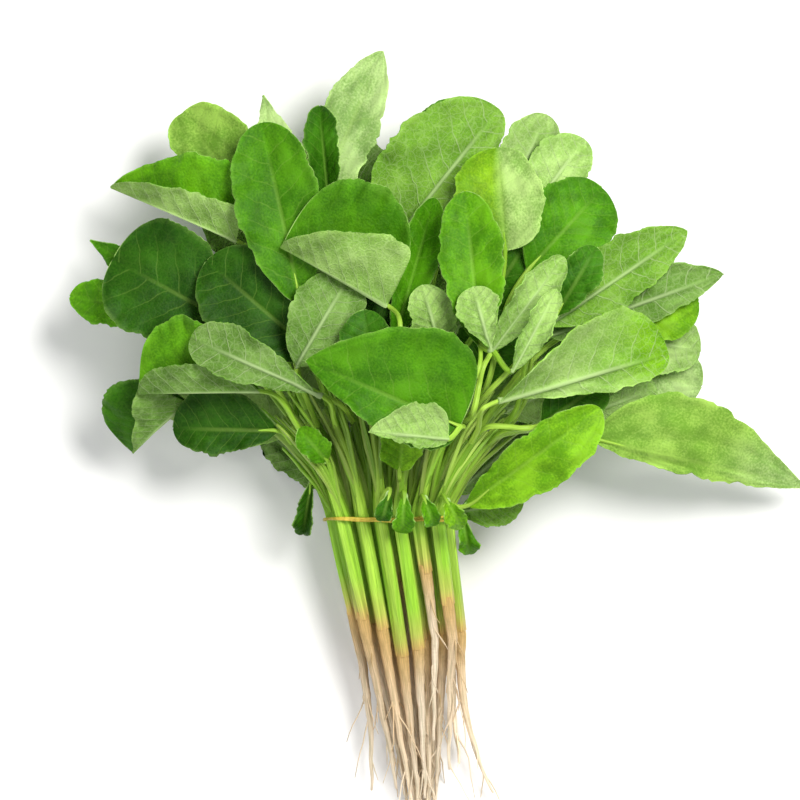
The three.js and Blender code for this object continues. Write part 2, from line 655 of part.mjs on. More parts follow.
function markBlade(grid, map) {
  for (const [a, b, c] of GRID) {
    for (let i = 0; i <= SAMPLES_PER_EDGE; i += 1) {
      for (let j = 0; i + j <= SAMPLES_PER_EDGE; j += 1) {
        const [wa, wb] = [i / SAMPLES_PER_EDGE, j / SAMPLES_PER_EDGE];
        const p = grid[a].clone().multiplyScalar(wa)
          .addScaledVector(grid[b], wb).addScaledVector(grid[c], 1 - wa - wb);
        map.mark(p.x, p.y, p.z + (map.side * BLADE_THICKNESS) / 2);
      }
    }
  }
}

const leaves = [];
layLeaves(OVER, new HeightMap(1), "A", leaves);
const underside = new HeightMap(-1);
for (const { grid, stalk } of leaves) {
  markBlade(grid, underside);
  underside.markTube(stalk, stalkRadii(stalk));
}
layLeaves(UNDER, underside, "D", leaves);

const bunch = new THREE.Group();
bunch.name = "spinach_bunch";
for (const plant of Object.keys(CROWN_Y)) {
  const { points, radii } = stemOf(plant);
  const pieces = [tube(points, radii, STEM_SIDES)];
  for (const { leaf, grid, stalk } of leaves) {
    if (leaf.plant === plant) {
      pieces.push(tube(stalk, stalkRadii(stalk), STALK_SIDES), bladeSolid(grid));
    }
  }
  bunch.add(namedMesh(`shoot_${plant}`, fused(pieces), GREEN));
  bunch.add(namedMesh(`root_${plant}`, rootOf(plant), TAN));
}
bunch.add(namedMesh("tie_band", band(), RUBBER));

export default bunch;
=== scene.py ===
import math

import bpy
import numpy as np
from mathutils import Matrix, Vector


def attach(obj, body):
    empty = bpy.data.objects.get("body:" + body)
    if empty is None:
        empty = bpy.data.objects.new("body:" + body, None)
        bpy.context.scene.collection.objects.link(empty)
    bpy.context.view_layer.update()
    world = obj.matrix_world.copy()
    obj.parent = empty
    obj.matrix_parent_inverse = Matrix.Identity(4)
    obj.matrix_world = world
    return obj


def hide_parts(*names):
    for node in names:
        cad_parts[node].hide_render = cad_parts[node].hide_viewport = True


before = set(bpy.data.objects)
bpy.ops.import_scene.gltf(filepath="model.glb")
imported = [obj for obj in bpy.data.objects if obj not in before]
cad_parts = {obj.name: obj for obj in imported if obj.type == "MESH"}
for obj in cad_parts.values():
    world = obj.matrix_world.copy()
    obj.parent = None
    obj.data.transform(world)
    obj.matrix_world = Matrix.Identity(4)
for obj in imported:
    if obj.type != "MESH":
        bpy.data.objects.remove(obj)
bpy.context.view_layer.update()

MM = 0.001

# Stage: camera, lights, floor
VIEW_WIDTH = 320.0
VIEW_CENTRE = (-14.8, 16.4)
CAMERA_HEIGHT = 2400.0
CANOPY_HEIGHT = 60.0
SENSOR = 36.0


def make_camera():
    data = bpy.data.cameras.new("camera")
    data.sensor_width = SENSOR
    data.lens = SENSOR * (CAMERA_HEIGHT - CANOPY_HEIGHT) / VIEW_WIDTH
    data.clip_end = 20
    camera = bpy.data.objects.new("camera", data)
    camera.location = (VIEW_CENTRE[0] * MM, VIEW_CENTRE[1] * MM, CAMERA_HEIGHT * MM)
    bpy.context.scene.collection.objects.link(camera)
    bpy.context.scene.camera = camera


def area_light(name, place, size, watts, colour):
    data = bpy.data.lights.new(name, "AREA")
    data.shape = "DISK"
    data.size = size
    data.energy = watts
    data.color = colour
    light = bpy.data.objects.new(name, data)
    light.location = place
    aim = Vector((-0.01, 0.03, 0.05)) - light.location
    light.rotation_euler = aim.to_track_quat("-Z", "Y").to_euler()
    bpy.context.scene.collection.objects.link(light)


def make_stage():
    make_camera()
    area_light("key", (0.34, 0.36, 1.0), 0.45, 14.0, (1.0, 0.985, 0.95))
    area_light("fill", (-0.5, -0.45, 0.9), 0.8, 3.2, (0.98, 0.99, 1.0))
    world = bpy.data.worlds.new("world")
    world.use_nodes = True
    world.node_tree.nodes["Background"].inputs["Color"].default_value = (1, 1, 1, 1)
    world.node_tree.nodes["Background"].inputs["Strength"].default_value = 0.46
    bpy.context.scene.world = world
    bpy.context.scene.view_settings.view_transform = "Standard"
    bpy.ops.mesh.primitive_plane_add(size=6)
    floor = bpy.context.object
    floor.name = "floor"
    white = bpy.data.materials.new("floor_white")
    white.use_nodes = True
    shader = white.node_tree.nodes["Principled BSDF"]
    shader.inputs["Base Color"].default_value = (0.93, 0.93, 0.93, 1)
    shader.inputs["Roughness"].default_value = 0.9
    floor.data.materials.append(white)


# The bunch's own measures, the same as in the part
TIE = {"x": -18.8, "y": -31.6, "z": 34.0, "squeeze": 1.0}
PLANT_SPACING = 7.6
ROWS = {
    "A": {"count": 6, "height": 11.1, "reach": 40},
    "B": {"count": 7, "height": 3.7, "reach": 50},
    "C": {"count": 6, "height": -3.7, "reach": 48},
    "D": {"count": 5, "height": -11.1, "reach": 42},
}
STEM_RADIUS = 3.05
STEM_END_RADIUS = 1.5
STEM_STEPS = 7
FAN_DEGREES_PER_PLACE = 16.7
FAN_STARTS_AT = 0.3
FAN_OPENS_OVER = 45
ROW_SPREAD_PER_MM = 0.009
FAN_TOP = {"x": -12, "y": 60, "z": 52}
FAR_DROOP = 10 / 100**2
SIDE_DROOP = 14 / 120**2
CANOPY = {"x": -19, "y": 66, "half_width": 132, "half_length": 92}
SWELL_OVER = {"A": 20, "B": 8, "C": 3, "D": 0}
SWELL_UNDER = {"A": 0, "B": 0, "C": 10, "D": 24}
CROWN = {"x": -11, "y": -80, "z": 22.5, "squeeze": 0.91}
ROOT_END = {"x": -5, "y": -157, "z": 4.05, "squeeze": 0.3}
ROOT_TIP_RADIUS = 0.75
CROWN_Y = {
    "A1": -72, "A2": -76, "A3": -87, "A4": -84, "A5": -53, "A6": -66,
    "B1": -70, "B2": -77, "B3": -82, "B4": -56, "B5": -80, "B6": -78, "B7": -77,
    "C1": -66, "C2": -80, "C3": -72, "C4": -84, "C5": -76, "C6": -70,
    "D1": -75, "D2": -82, "D3": -70, "D4": -86, "D5": -73,
}
ROOT_ENDS_AT = {
    "A1": -142, "A2": -150, "A3": -154, "A4": -146, "A5": -122, "A6": -134,
    "B1": -143, "B2": -138, "B3": -149, "B4": -128, "B5": -157, "B6": -141, "B7": -144,
    "C1": -131, "C2": -152, "C3": -140, "C4": -155, "C5": -147, "C6": -132,
    "D1": -146, "D2": -157, "D3": -157, "D4": -157, "D5": -150,
}
ROOT_STRAY = {"B1": -11, "B7": 20, "C6": 7, "A1": -2, "A6": 3}
BLADE_THICKNESS = 0.7
STALK_RADIUS = 1.25
STALK_TIP_RADIUS = 0.85
STALK_STEPS = 4
STALK_HIDDEN = 10
STALK_ROOTED = 1.5
STALK_INTO_BLADE = 0.55
STALK_BEND = 0.36
STALK_SAMPLES = 8
CROWN_SHARE = 0.95
RIGHT_SIDE_PHASE = 0.37
PHASE_STEP = 0.61
LEAST_SHARE = 0.05
STEMS_END = 46
KNOTS_U = np.array([0, 0.13, 0.31, 0.5, 0.69, 0.87, 1])
KNOTS_V = np.array([-1, -0.5, 0, 0.5, 1])
MIDDLE = 2
WAVES_PER_SIDE = 2.1
FORMS = {
    "oval": (0.7, 0.5), "tipWide": (1.2, 0.45), "baseWide": (0.32, 0.8),
    "blunt": (0.3, 0.3), "egg": (0.6, 0.8), "round": (0.35, 0.45), "long": (0.7, 0.75),
    "pointed": (0.6, 1.1), "tail": (0.65, 1.2), "wedge": (0.1, 1.3), "fan": (0.1, 0.5),
}
CLEARANCE = 1
MAP = {"x0": -170, "y0": -80, "cell": 2, "columns": 170, "rows": 130}
SAMPLES_PER_EDGE = 8
SMOOTHING_ROUNDS = 12
SETTLING_ROUNDS = 3
LIES_FLAT_BELOW = 4
BAND = {"thickness": 1.0, "clearance": 0.5}

# Leaf colours as the eye sees them, for the upper and the under face; the top colour "dark" is painted
# shade, given to leaves that lie in shadow.
TOPS = {
    "dark": (40, 90, 8), "deep": (54, 112, 12), "mid": (76, 142, 12), "fresh": (92, 160, 14),
    "bright": (118, 178, 24), "yellow": (128, 182, 26), "light": (142, 188, 74), "silver": (162, 198, 118),
}
UNDERS = {
    "dark": (40, 84, 18), "grey": (114, 156, 68), "soft": (120, 172, 54), "pale": (156, 198, 100),
    "lit": (168, 208, 114),
}

# The leaves, in the order in which they are laid: plant, where the stalk leaves the stem, blade's start
# and tip, the widths of its two halves, its shape, then the colours of its two faces. A turned leaf shows
# its under face.
OVER = [
    ("C1", 1.0, (-96, 54), (-140, 81), 9, 8, dict(form="pointed"), "mid", "pale"),
    ("C1", 0.7, (-98, 50), (-148, 58), 9.5, 10, {}, "fresh", "pale"),
    ("C2", 1.0, (-66, 84), (-103, 132), 14, 18, dict(form="blunt"), "light", "pale"),
    ("C2", 0.8, (-60, 100), (-70, 139), 7, 8, dict(form="pointed"), "silver", "pale"),
    ("C3", 1.0, (-50, 90), (-22, 157), 14, 12, dict(arch=4, form="long"), "silver", "pale"),
    ("C3", 0.8, (-43, 92), (-47, 134), 10, 9, dict(foldLeft=(50, 40), foldRight=(50, 40)),
     "deep", "pale"),
    ("C4", 1.0, (-17, 90), (14, 136), 15, 14, {}, "mid", "pale"),
    ("C4", 0.8, (-17, 80), (25, 133), 27, 13, dict(form="round", turned=True), "mid", "soft"),
    ("C5", 1.0, (22, 84), (44, 131), 12, 12, dict(turned=True), "fresh", "lit"),
    ("C5", 0.8, (32, 84), (59, 121), 14, 11, dict(turned=True), "fresh", "lit"),
    ("C6", 1.0, (72, 30), (107, 22), 14, 10, {}, "silver", "pale"),
    ("C6", 0.85, (66, 44), (106, 36), 13, 12, dict(turned=True), "fresh", "lit"),
    ("C6", 0.7, (64, 47), (105, 56), 13, 13, {}, "bright", "pale"),
    ("B5", 1.0, (17, 50), (40, 86), 15, 14, {}, "deep", "grey"),
    ("B5", 0.9, (13, 20), (28, 51), 14, 14, {}, "deep", "grey"),
    ("B6", 1.0, (36, 68), (66, 101), 17, 17, {}, "mid", "pale"),
    # This leaf's right half is painted paler: painted light on the half that faces the lamp.
    ("B5", 0.9, (27, 76), (24, 117), 20, 18, dict(form="round", foldRight=(20, 25),
                                          rightPaintedLight="lit"), "yellow", "lit"),
    ("B7", 1.0, (45, 42), (115, 67), 15, 9, dict(foldLeft=(20, 15), form="egg", turned=True),
     "fresh", "grey"),
    ("B7", 0.85, (44, 46), (100, 84), 15, 11, dict(foldLeft=(20, 15), form="long", turned=True),
     "fresh", "soft"),
    ("B6", 0.85, (47, 50), (63, 77), 8, 8, {}, "deep", "pale"),
    ("B6", 0.85, (22, 36), (50, 73), 9, 8, dict(foldLeft=(35, 35), foldRight=(30, 30),
                                          turned=True), "mid", "pale"),
    ("B6", 0.85, (30, 28), (47, 60), 6, 7, dict(foldLeft=(35, 35), foldRight=(30, 30), onLast=True,
                                          turned=True), "mid", "pale"),
    ("B7", 0.7, (47, 6), (88, 21), 15, 12, dict(turned=True), "mid", "lit"),
    ("B7", 0.7, (62, 1), (151, -19), 26, 6, dict(foldLeft=(8, 8), arch=6, form=("tail", "egg"),
                                   flush="silver"), "light", "pale"),
    ("B1", 1.0, (-101, 16), (-123, -5), 22, 25, dict(foldLeft=(138, 145), form=("wedge", "blunt")),
     "deep", "grey"),
    # Coloured "dark": painted shade on a leaf lying in shadow on the left of the head.
    ("B2", 1.0, (-66, 38), (-130, 73), 23, 26, dict(form="tipWide"), "dark", "pale"),
    ("B2", 0.8, (-80, 80), (-131, 102), 15, 28, dict(foldLeft=(148, 125),
                                             form=("fan", "baseWide")), "fresh", "pale"),
    ("B3", 1.0, (-48, 34), (-92, 72), 20, 20, {}, "dark", "grey"),
    ("B3", 0.85, (-54, 54), (-70, 127), 18, 17, dict(foldLeft=(10, 10), foldRight=(15, 15)),
     "mid", "pale"),
    ("B4", 1.0, (-20, 22), (-33, 66), 18, 18, {}, "dark", "grey"),
    ("B4", 0.8, (-17, 40), (-1, 97), 10, 10, dict(foldLeft=(40, 40), foldRight=(35, 35)),
     "mid", "pale"),
    ("B5", 0.8, (2, 34), (-6, 62), 9, 10, dict(turned=True), "mid", "pale"),
    ("B3", 0.8, (-56, 30), (-34, 67), 15, 14, dict(turned=True), "mid", "grey"),
    ("B4", 0.8, (-26, 16), (-29, 52), 13, 13, dict(form="round"), "deep", "grey"),
    # Coloured "dark": painted shade on a leaf lying in shadow on the left of the head.
    ("B1", 0.7, (-64, 4), (-106, 5), 10, 17, {}, "dark", "grey"),
    ("B7", 0.1, (9, -29), (35, -23), 8, 9, dict(turned=True), "mid", "soft"),
    ("B7", 0.1, (10.5, -31), (13.5, -46), 4.5, 4, dict(foldLeft=(40, 30), onLast=True),
     "fresh", "pale"),
    # A small leaf left of the neck, coloured "dark": painted shade in the gap beside the stems.
    ("B1", 0.16, (-50.5, -17), (-54, -38), 5.5, 6.5, dict(foldLeft=(60, 60), foldRight=(40, 50)),
     "dark", "grey"),
    ("A6", 1.0, (42, 7), (67, 24), 12, 11, {}, "deep", "pale"),
    ("A6", 0.85, (24, 16), (92, 35), 23, 9, dict(form="tipWide", foldLeft=(10, 5), turned=True,
                                   flush="bright"), "bright", "pale"),
    ("A6", 0.12, (12, -26), (65, 13), 10, 15, dict(foldLeft=(20, 12), lift=(7, 0)),
     "bright", "pale"),
    ("A1", 1.0, (-71, 20), (-119, 19), 14.5, 31, dict(foldLeft=(150, 135)), "fresh", "grey"),
    ("A2", 1.0, (-46, 18), (-98, 41), 9.5, 12, dict(form="tipWide", turned=True), "fresh", "grey"),
    ("A1", 0.6, (-44, -8), (-55, 5), 6, 6, {}, "fresh", "pale"),
    ("A3", 1.0, (-20, 54), (-62, 77), 28, 41, dict(foldLeft=(158, 125), form=("fan", "blunt")),
     "mid", "pale"),
    ("A5", 1.0, (17, 38), (11, 99), 13, 13, dict(foldLeft=(12, 12), foldRight=(12, 12)),
     "fresh", "pale"),
    ("A5", 0.6, (21, 36), (14, 61), 9, 8, dict(form="tipWide", onLast=True, turned=True),
     "fresh", "pale"),
    ("A4", 0.3, (-15, -12), (-13, 13), 9, 9, {}, "bright", "pale"),
    ("A4", 0.12, (-13, -22), (-14, -37), 4.5, 4, dict(lift=(15, 21), wave=0.8), "fresh", "pale"),
    ("A4", 1.0, (9, 6), (-52, 32), 15, 33, dict(form="baseWide", arch=8), "mid", "pale"),
    ("A4", 0.8, (4, 1), (-27, 4), 4, 15, dict(foldRight=(25, 15), form="baseWide", onLast=True,
                                       turned=True), "mid", "pale"),
    ("A5", 0.1, (-5, -23), (-1, -34), 4, 3.5, dict(lift=(15, 21), foldLeft=(30, 25)),
     "fresh", "pale"),
    ("A3", 0.1, (-19, -21), (-22, -32), 3.5, 4, dict(lift=(15, 21), foldRight=(35, 30)),
     "deep", "pale"),
    ("A6", 0.1, (4, -24), (10, -35), 4, 5, dict(lift=(15, 21), foldLeft=(35, 20)),
     "bright", "pale"),
]
UNDER = [
    ("C1", 0.8, (-62, 32), (-112, 66), 22, 22, dict(lift=(0, 6)), "deep", "grey"),
    ("C2", 0.7, (-45, 56), (-90, 108), 22, 22, dict(lift=(0, 6)), "mid", "grey"),
    ("C3", 0.7, (-25, 70), (-45, 124), 23, 23, dict(lift=(0, 6)), "deep", "grey"),
    ("C4", 0.7, (0, 70), (12, 122), 23, 22, dict(lift=(0, 6)), "mid", "grey"),
    ("C5", 0.7, (26, 56), (57, 102), 22, 20, dict(lift=(0, 6)), "deep", "grey"),
    ("C6", 0.55, (42, 32), (92, 58), 20, 20, dict(lift=(0, 6)), "mid", "grey"),
    ("D3", 1.0, (-20, 42), (-27, 100), 22, 22, dict(lift=(0, 9)), "mid", "pale"),
    ("D2", 1.0, (-42, 32), (-80, 84), 22, 21, dict(lift=(0, 9)), "deep", "pale"),
    ("D4", 1.0, (4, 38), (34, 90), 21, 22, dict(lift=(0, 9)), "mid", "pale"),
    ("D1", 1.0, (-58, 5), (-116, 28), 19, 22, dict(lift=(2, 22)), "fresh", "pale"),
    ("D5", 1.0, (28, 12), (86, 38), 20, 20, dict(lift=(2, 24)), "mid", "pale"),
    ("D2", 0.7, (-38, 3), (-78, 46), 21, 21, dict(lift=(6, 21)), "mid", "pale"),
    ("D4", 0.7, (6, 6), (46, 56), 21, 21, dict(lift=(6, 22)), "fresh", "pale"),
    ("D3", 0.7, (-18, 8), (-24, 60), 21, 21, dict(lift=(6, 20)), "deep", "pale"),
    # Small leaves under the neck, coloured "dark": painted shade filling the gaps between the stems.
    ("D1", 0.15, (-42, -20), (-72, 6), 9, 9, {}, "dark", "grey"),
    ("D2", 0.12, (-31, -22), (-50, 14), 9, 9, {}, "dark", "grey"),
    ("D3", 0.12, (-19, -22), (-22, 16), 9, 9, {}, "dark", "grey"),
    ("D4", 0.12, (-6, -22), (8, 16), 9, 9, {}, "dark", "grey"),
    ("D5", 0.12, (8, -22), (40, 6), 9, 8, {}, "dark", "grey"),
]

# Fine detail that only the looks have
BLADE_STEPS = 74
HALF_STEPS = 14
SKIN = 0.2
RIDGE = 0.7
QUILT = 0.75
RUFFLE = 1.6
BUCKLE = 1.1
LOBES = 1.1
TEETH = 0.35
VEIN_SPACING = 9.5


def unit(v):
    return v / np.linalg.norm(v)


def mix(a, b, t):
    return a + (b - a) * t


def fan_height(x, y):
    towards_tie = (y - FAN_TOP["y"]) / (TIE["y"] - FAN_TOP["y"])
    drop = FAR_DROOP * (y - FAN_TOP["y"]) ** 2
    if y < FAN_TOP["y"]:
        drop = (FAN_TOP["z"] - TIE["z"]) * towards_tie**2
    return FAN_TOP["z"] - drop - SIDE_DROOP * (x - FAN_TOP["x"]) ** 2


def dome(x, y):
    across = (x - CANOPY["x"]) / CANOPY["half_width"]
    along = (y - CANOPY["y"]) / CANOPY["half_length"]
    return math.sqrt(max(0, 1 - across**2 - along**2))


def place_of(plant):
    row = ROWS[plant[0]]
    return row, int(plant[1]) - 1 - (row["count"] - 1) / 2


def bundle_at(y):
    a, b = (TIE, CROWN) if y > CROWN["y"] else (CROWN, ROOT_END)
    t = (y - a["y"]) / (b["y"] - a["y"])
    return mix(a["x"], b["x"], t), mix(a["z"], b["z"], t), mix(a["squeeze"], b["squeeze"], t)


def below_tie(plant, y):
    row, place = place_of(plant)
    x, z, squeeze = bundle_at(y)
    return np.array([x + place * PLANT_SPACING * squeeze, y, z + row["height"] * squeeze])


def above_tie(plant, distance, aside=0.0):
    row, place = place_of(plant)
    place += aside
    steps = 24
    s = distance * (np.arange(steps) + 0.5) / steps
    opened = FAN_STARTS_AT + (1 - FAN_STARTS_AT) * np.minimum(1, s / FAN_OPENS_OVER)
    angle = np.radians(place * FAN_DEGREES_PER_PLACE * opened)
    x = TIE["x"] + place * PLANT_SPACING + np.sin(angle).sum() * distance / steps
    y = TIE["y"] + np.cos(angle).sum() * distance / steps
    return np.array([x, y, fan_height(x, y) + row["height"] * (1 + ROW_SPREAD_PER_MM * distance)])


def stem_direction(plant, distance):
    return unit(above_tie(plant, distance + 1) - above_tie(plant, distance - 1))


class HeightMap:
    """How high (side +1) or low (side -1) the things placed so far reach, on a grid of cells."""

    def __init__(self, side):
        self.side = side
        self.cells = np.full((MAP["rows"], MAP["columns"]), -np.inf)

    def cell_of(self, p):
        column = np.floor((p[:, 0] - MAP["x0"]) / MAP["cell"]).astype(int)
        row = np.floor((p[:, 1] - MAP["y0"]) / MAP["cell"]).astype(int)
        return row, column

    def mark(self, p):
        np.maximum.at(self.cells, self.cell_of(p), p[:, 2] * self.side)

    def around(self, p):
        row, column = self.cell_of(p)
        near = [self.cells[row + r, column + c] for r in (-1, 0, 1) for c in (-1, 0, 1)]
        return np.max(near, axis=0)

    def mark_tube(self, points, radii):
        for i in range(len(points) - 1):
            steps = math.ceil(np.linalg.norm(points[i + 1] - points[i]))
            t = np.arange(steps + 1)[:, None] / steps
            p = mix(points[i], points[i + 1], t)
            radius = mix(radii[i], radii[i + 1], t[:, 0])
            for across in (-1, 0, 1):
                self.mark(p + np.stack([across * radius, 0 * radius, self.side * radius], axis=1))


def grid_triangles(rows, columns, middle):
    """Triangles of a blade's grid, split alike on both halves; each end row is one point."""
    found = []

    def at(a, b):
        return a * columns + (middle if a in (0, rows - 1) else b)

    for i in range(rows - 1):
        for j in range(columns - 1):
            a, b, c, d = at(i, j), at(i, j + 1), at(i + 1, j + 1), at(i + 1, j)
            if a == b:
                found.append((a, c, d))
            elif c == d:
                found.append((a, b, c))
            elif j < middle:
                found += [(a, b, c), (a, c, d)]
            else:
                found += [(a, b, d), (b, c, d)]
    return np.array(found)


COARSE = grid_triangles(len(KNOTS_U), len(KNOTS_V), MIDDLE)
FINE = grid_triangles(BLADE_STEPS + 1, 2 * HALF_STEPS + 1, HALF_STEPS)
SHARES = np.array([
    (i, j, SAMPLES_PER_EDGE - i - j)
    for i in range(SAMPLES_PER_EDGE + 1) for j in range(SAMPLES_PER_EDGE + 1 - i)
]) / SAMPLES_PER_EDGE


def outline(u, form):
    alpha, beta = FORMS[form]
    widest = alpha / (alpha + beta)
    return u**alpha * (1 - u) ** beta / (widest**alpha * (1 - widest) ** beta)


def half_section(width, v, fold, curl):
    start = np.radians(fold - curl)
    turn = np.maximum(2 * np.radians(curl) * v, 1e-6)
    radius = width * v / turn
    return radius * (np.sin(start + turn) - np.sin(start)), radius * (np.cos(start) - np.cos(start + turn))


def read_leaf(line, order, side):
    plant, where, base, tip, left, right, shape, top, under = line
    swell = (SWELL_OVER if side > 0 else SWELL_UNDER)[plant[0]]
    leaf = dict(left=left, right=right, foldLeft=(12, 8), foldRight=(12, 8), curl=14, arch=5, lift=(0, 0),
                wave=1.5, form="oval", onLast=False, turned=False, flush=None, rightPaintedLight=None,
                phase=(order * PHASE_STEP) % 1)
    leaf.update(shape, plant=plant, side=side, top=top, under=under)
    reach = ROWS[plant[0]]["reach"]
    leaf["from"] = min(where * reach, reach - STALK_ROOTED)
    ends = []
    for (x, y), lift in zip((base, tip), leaf["lift"]):
        ends.append(np.array([x, y, fan_height(x, y) + side * (swell * dome(x, y) + lift)]))
    leaf["base"], leaf["tip"] = ends
    leaf["chord"] = leaf["tip"] - leaf["base"]
    along = unit(leaf["chord"])
    leaf["across"] = unit(np.cross((0, 0, 1), along))
    leaf["up"] = np.cross(along, leaf["across"]) * side
    return leaf


def blade_surface(leaf, u, v, edge=0.0, ruffle=0.0):
    """Points of a blade for arrays u (rows) and v (columns), with its widths in millimetres."""
    u, v = u[:, None], v[None, :]
    bow = 4 * u * (1 - u)
    rib = leaf["base"] + u[..., None] * leaf["chord"] + (leaf["arch"] * bow)[..., None] * leaf["up"]
    forms = (leaf["form"],) * 2 if isinstance(leaf["form"], str) else leaf["form"]
    left, right = leaf["left"] * outline(u, forms[0]), leaf["right"] * outline(u, forms[1])
    width = np.where(v > 0, left, right) * (1 + edge)
    fold = np.where(v > 0, mix(*leaf["foldLeft"], u), mix(*leaf["foldRight"], u))
    out, rise = half_section(width, np.abs(v), fold, leaf["curl"])
    phase = leaf["phase"] + np.where(v > 0, 0, RIGHT_SIDE_PHASE)
    wave = leaf["wave"] * v**2 * np.sqrt(bow) * np.sin(2 * np.pi * (WAVES_PER_SIDE * u + phase))
    rise = rise + wave + ruffle
    return rib + (np.sign(v) * out)[..., None] * leaf["across"] + rise[..., None] * leaf["up"], width


def samples_on(grid):
    corners = grid[COARSE]
    return np.einsum("sk,tkx->tsx", SHARES, corners).reshape(-1, 3)


def settle_blade(grid, heights, keeps_sections):
    """Lifts a coarse blade clear of what the map holds, bending it smoothly."""
    rows, columns = len(KNOTS_U), len(KNOTS_V)
    triangle = np.repeat(COARSE, len(SHARES), axis=0)
    share = np.tile(SHARES, (len(COARSE), 1))
    for _ in range(SETTLING_ROUNDS):
        p = samples_on(grid)
        short = heights.around(p) + CLEARANCE - (p[:, 2] * heights.side - BLADE_THICKNESS / 2)
        lack = np.zeros(len(grid))
        for k in range(3):
            counted = share[:, k] > LEAST_SHARE
            np.maximum.at(lack, triangle[counted, k], short[counted])
        lack = lack.reshape(rows, columns)
        if keeps_sections:
            lack = np.repeat(lack.max(axis=1, keepdims=True), columns, axis=1)
        raised = lack.copy()
        for _ in range(SMOOTHING_ROUNDS):
            raised[[0, -1]] = raised[[0, -1], MIDDLE][:, None]
            padded = np.pad(raised, 1)
            counts = np.pad(np.ones((rows, columns)), 1)
            total = sum(padded[r:r + rows, c:c + columns] for r in range(3) for c in range(3))
            count = sum(counts[r:r + rows, c:c + columns] for r in range(3) for c in range(3))
            raised = np.maximum(lack, total / count)
        raised[[0, -1]] = raised[[0, -1], MIDDLE][:, None]
        grid[:, 2] += heights.side * raised.ravel()


def bezier(a, b, c, d, steps):
    t = np.linspace(0, 1, steps + 1)[:, None]
    return (1 - t) ** 3 * a + 3 * (1 - t) ** 2 * t * b + 3 * (1 - t) * t**2 * c + t**3 * d


def stalk_points(leaf, grid, heights, parent):
    foot = grid[MIDDLE]
    inside = mix(foot, grid[2 * len(KNOTS_V) + MIDDLE], STALK_INTO_BLADE)
    if parent is not None:
        return np.array([parent, foot, inside])
    anchor = above_tie(leaf["plant"], leaf["from"])
    start = stem_direction(leaf["plant"], leaf["from"])
    finish = unit(inside - foot)
    reach = np.linalg.norm(anchor - foot) * STALK_BEND
    points = bezier(anchor, anchor + start * reach, foot - finish * reach, foot, STALK_STEPS)
    t = np.arange(STALK_SAMPLES + 1)[:, None] / STALK_SAMPLES
    for _ in range(SETTLING_ROUNDS):
        lack = np.zeros(len(points))
        for i in range(STALK_STEPS):
            p = mix(points[i], points[i + 1], t)
            among_stems = np.hypot(p[:, 0] - TIE["x"], p[:, 1] - TIE["y"]) < STEMS_END
            skipped = np.linalg.norm(p - anchor, axis=1) < STALK_HIDDEN
            if leaf["plant"][0] != "A":
                skipped |= among_stems
            short = heights.around(p) + CLEARANCE - (p[:, 2] * heights.side - STALK_RADIUS)
            short[skipped] = 0
            lack[i] = max(lack[i], short[:7].max())
            lack[i + 1] = max(lack[i + 1], short[2:].max())
        points[1:STALK_STEPS, 2] += heights.side * lack[1:STALK_STEPS]
    return np.vstack([points, inside])


def stalk_radii(points):
    return np.linspace(STALK_RADIUS, STALK_TIP_RADIUS, len(points))


def stem_of(plant):
    row, _ = place_of(plant)
    crown = CROWN_Y[plant]
    points = [below_tie(plant, y) for y in (crown, mix(crown, TIE["y"], 0.5), TIE["y"] - 5)]
    radii = [STEM_RADIUS * CROWN_SHARE, STEM_RADIUS, STEM_RADIUS]
    for i in range(STEM_STEPS - 3):
        distance = row["reach"] * i / (STEM_STEPS - 4)
        points.append(above_tie(plant, distance))
        radii.append(mix(STEM_RADIUS, STEM_END_RADIUS, distance / row["reach"]))
    return np.array(points), np.array(radii)


def lay_leaves(table, heights, stem_row, placed):
    stems_are_in = False
    for order, line in enumerate(table):
        leaf = read_leaf(line, order, heights.side)
        if not stems_are_in and leaf["plant"][0] == stem_row:
            for plant in CROWN_Y:
                heights.mark_tube(*stem_of(plant))
            stems_are_in = True
        flat = blade_surface(leaf, KNOTS_U, KNOTS_V)[0].reshape(-1, 3)
        grid = flat.copy()
        settle_blade(grid, heights, max(leaf["foldLeft"] + leaf["foldRight"]) > 90)
        grid[grid[:, 2] < LIES_FLAT_BELOW, 2] = BLADE_THICKNESS / 2
        parent = placed[-1]["grid"][MIDDLE] if leaf["onLast"] else None
        stalk = stalk_points(leaf, grid, heights, parent)
        heights.mark_tube(stalk, stalk_radii(stalk))
        mark_blade(grid, heights)
        placed.append(dict(leaf=leaf, grid=grid, stalk=stalk, raised=(grid - flat)[:, 2]))


def mark_blade(grid, heights):
    heights.mark(samples_on(grid) + (0, 0, heights.side * BLADE_THICKNESS / 2))


def lay_all():
    placed = []
    lay_leaves(OVER, HeightMap(1), "A", placed)
    underside = HeightMap(-1)
    for one in placed:
        mark_blade(one["grid"], underside)
        underside.mark_tube(one["stalk"], stalk_radii(one["stalk"]))
    lay_leaves(UNDER, underside, "D", placed)
    return placed


# Finer shapes
def curve_through(knots, values, at):
    """A smooth curve through values given at knots, with no overshoot, along the first axis."""
    step = np.diff(knots)[:, None]
    slope = np.diff(values, axis=0) / step
    bend = np.zeros_like(values)
    bend[0], bend[-1] = slope[0], slope[-1]
    both = slope[:-1] * slope[1:]
    total = slope[:-1] + slope[1:]
    bend[1:-1] = np.where(both > 0, 2 * both / np.where(both > 0, total, 1), 0)
    k = np.clip(np.searchsorted(knots, at) - 1, 0, len(knots) - 2)
    h = step[k]
    t = ((at - knots[k])[:, None]) / h
    return ((1 + 2 * t) * (1 - t) ** 2 * values[k] + t * (1 - t) ** 2 * h * bend[k]
            + t**2 * (3 - 2 * t) * values[k + 1] + t**2 * (t - 1) * h * bend[k + 1])


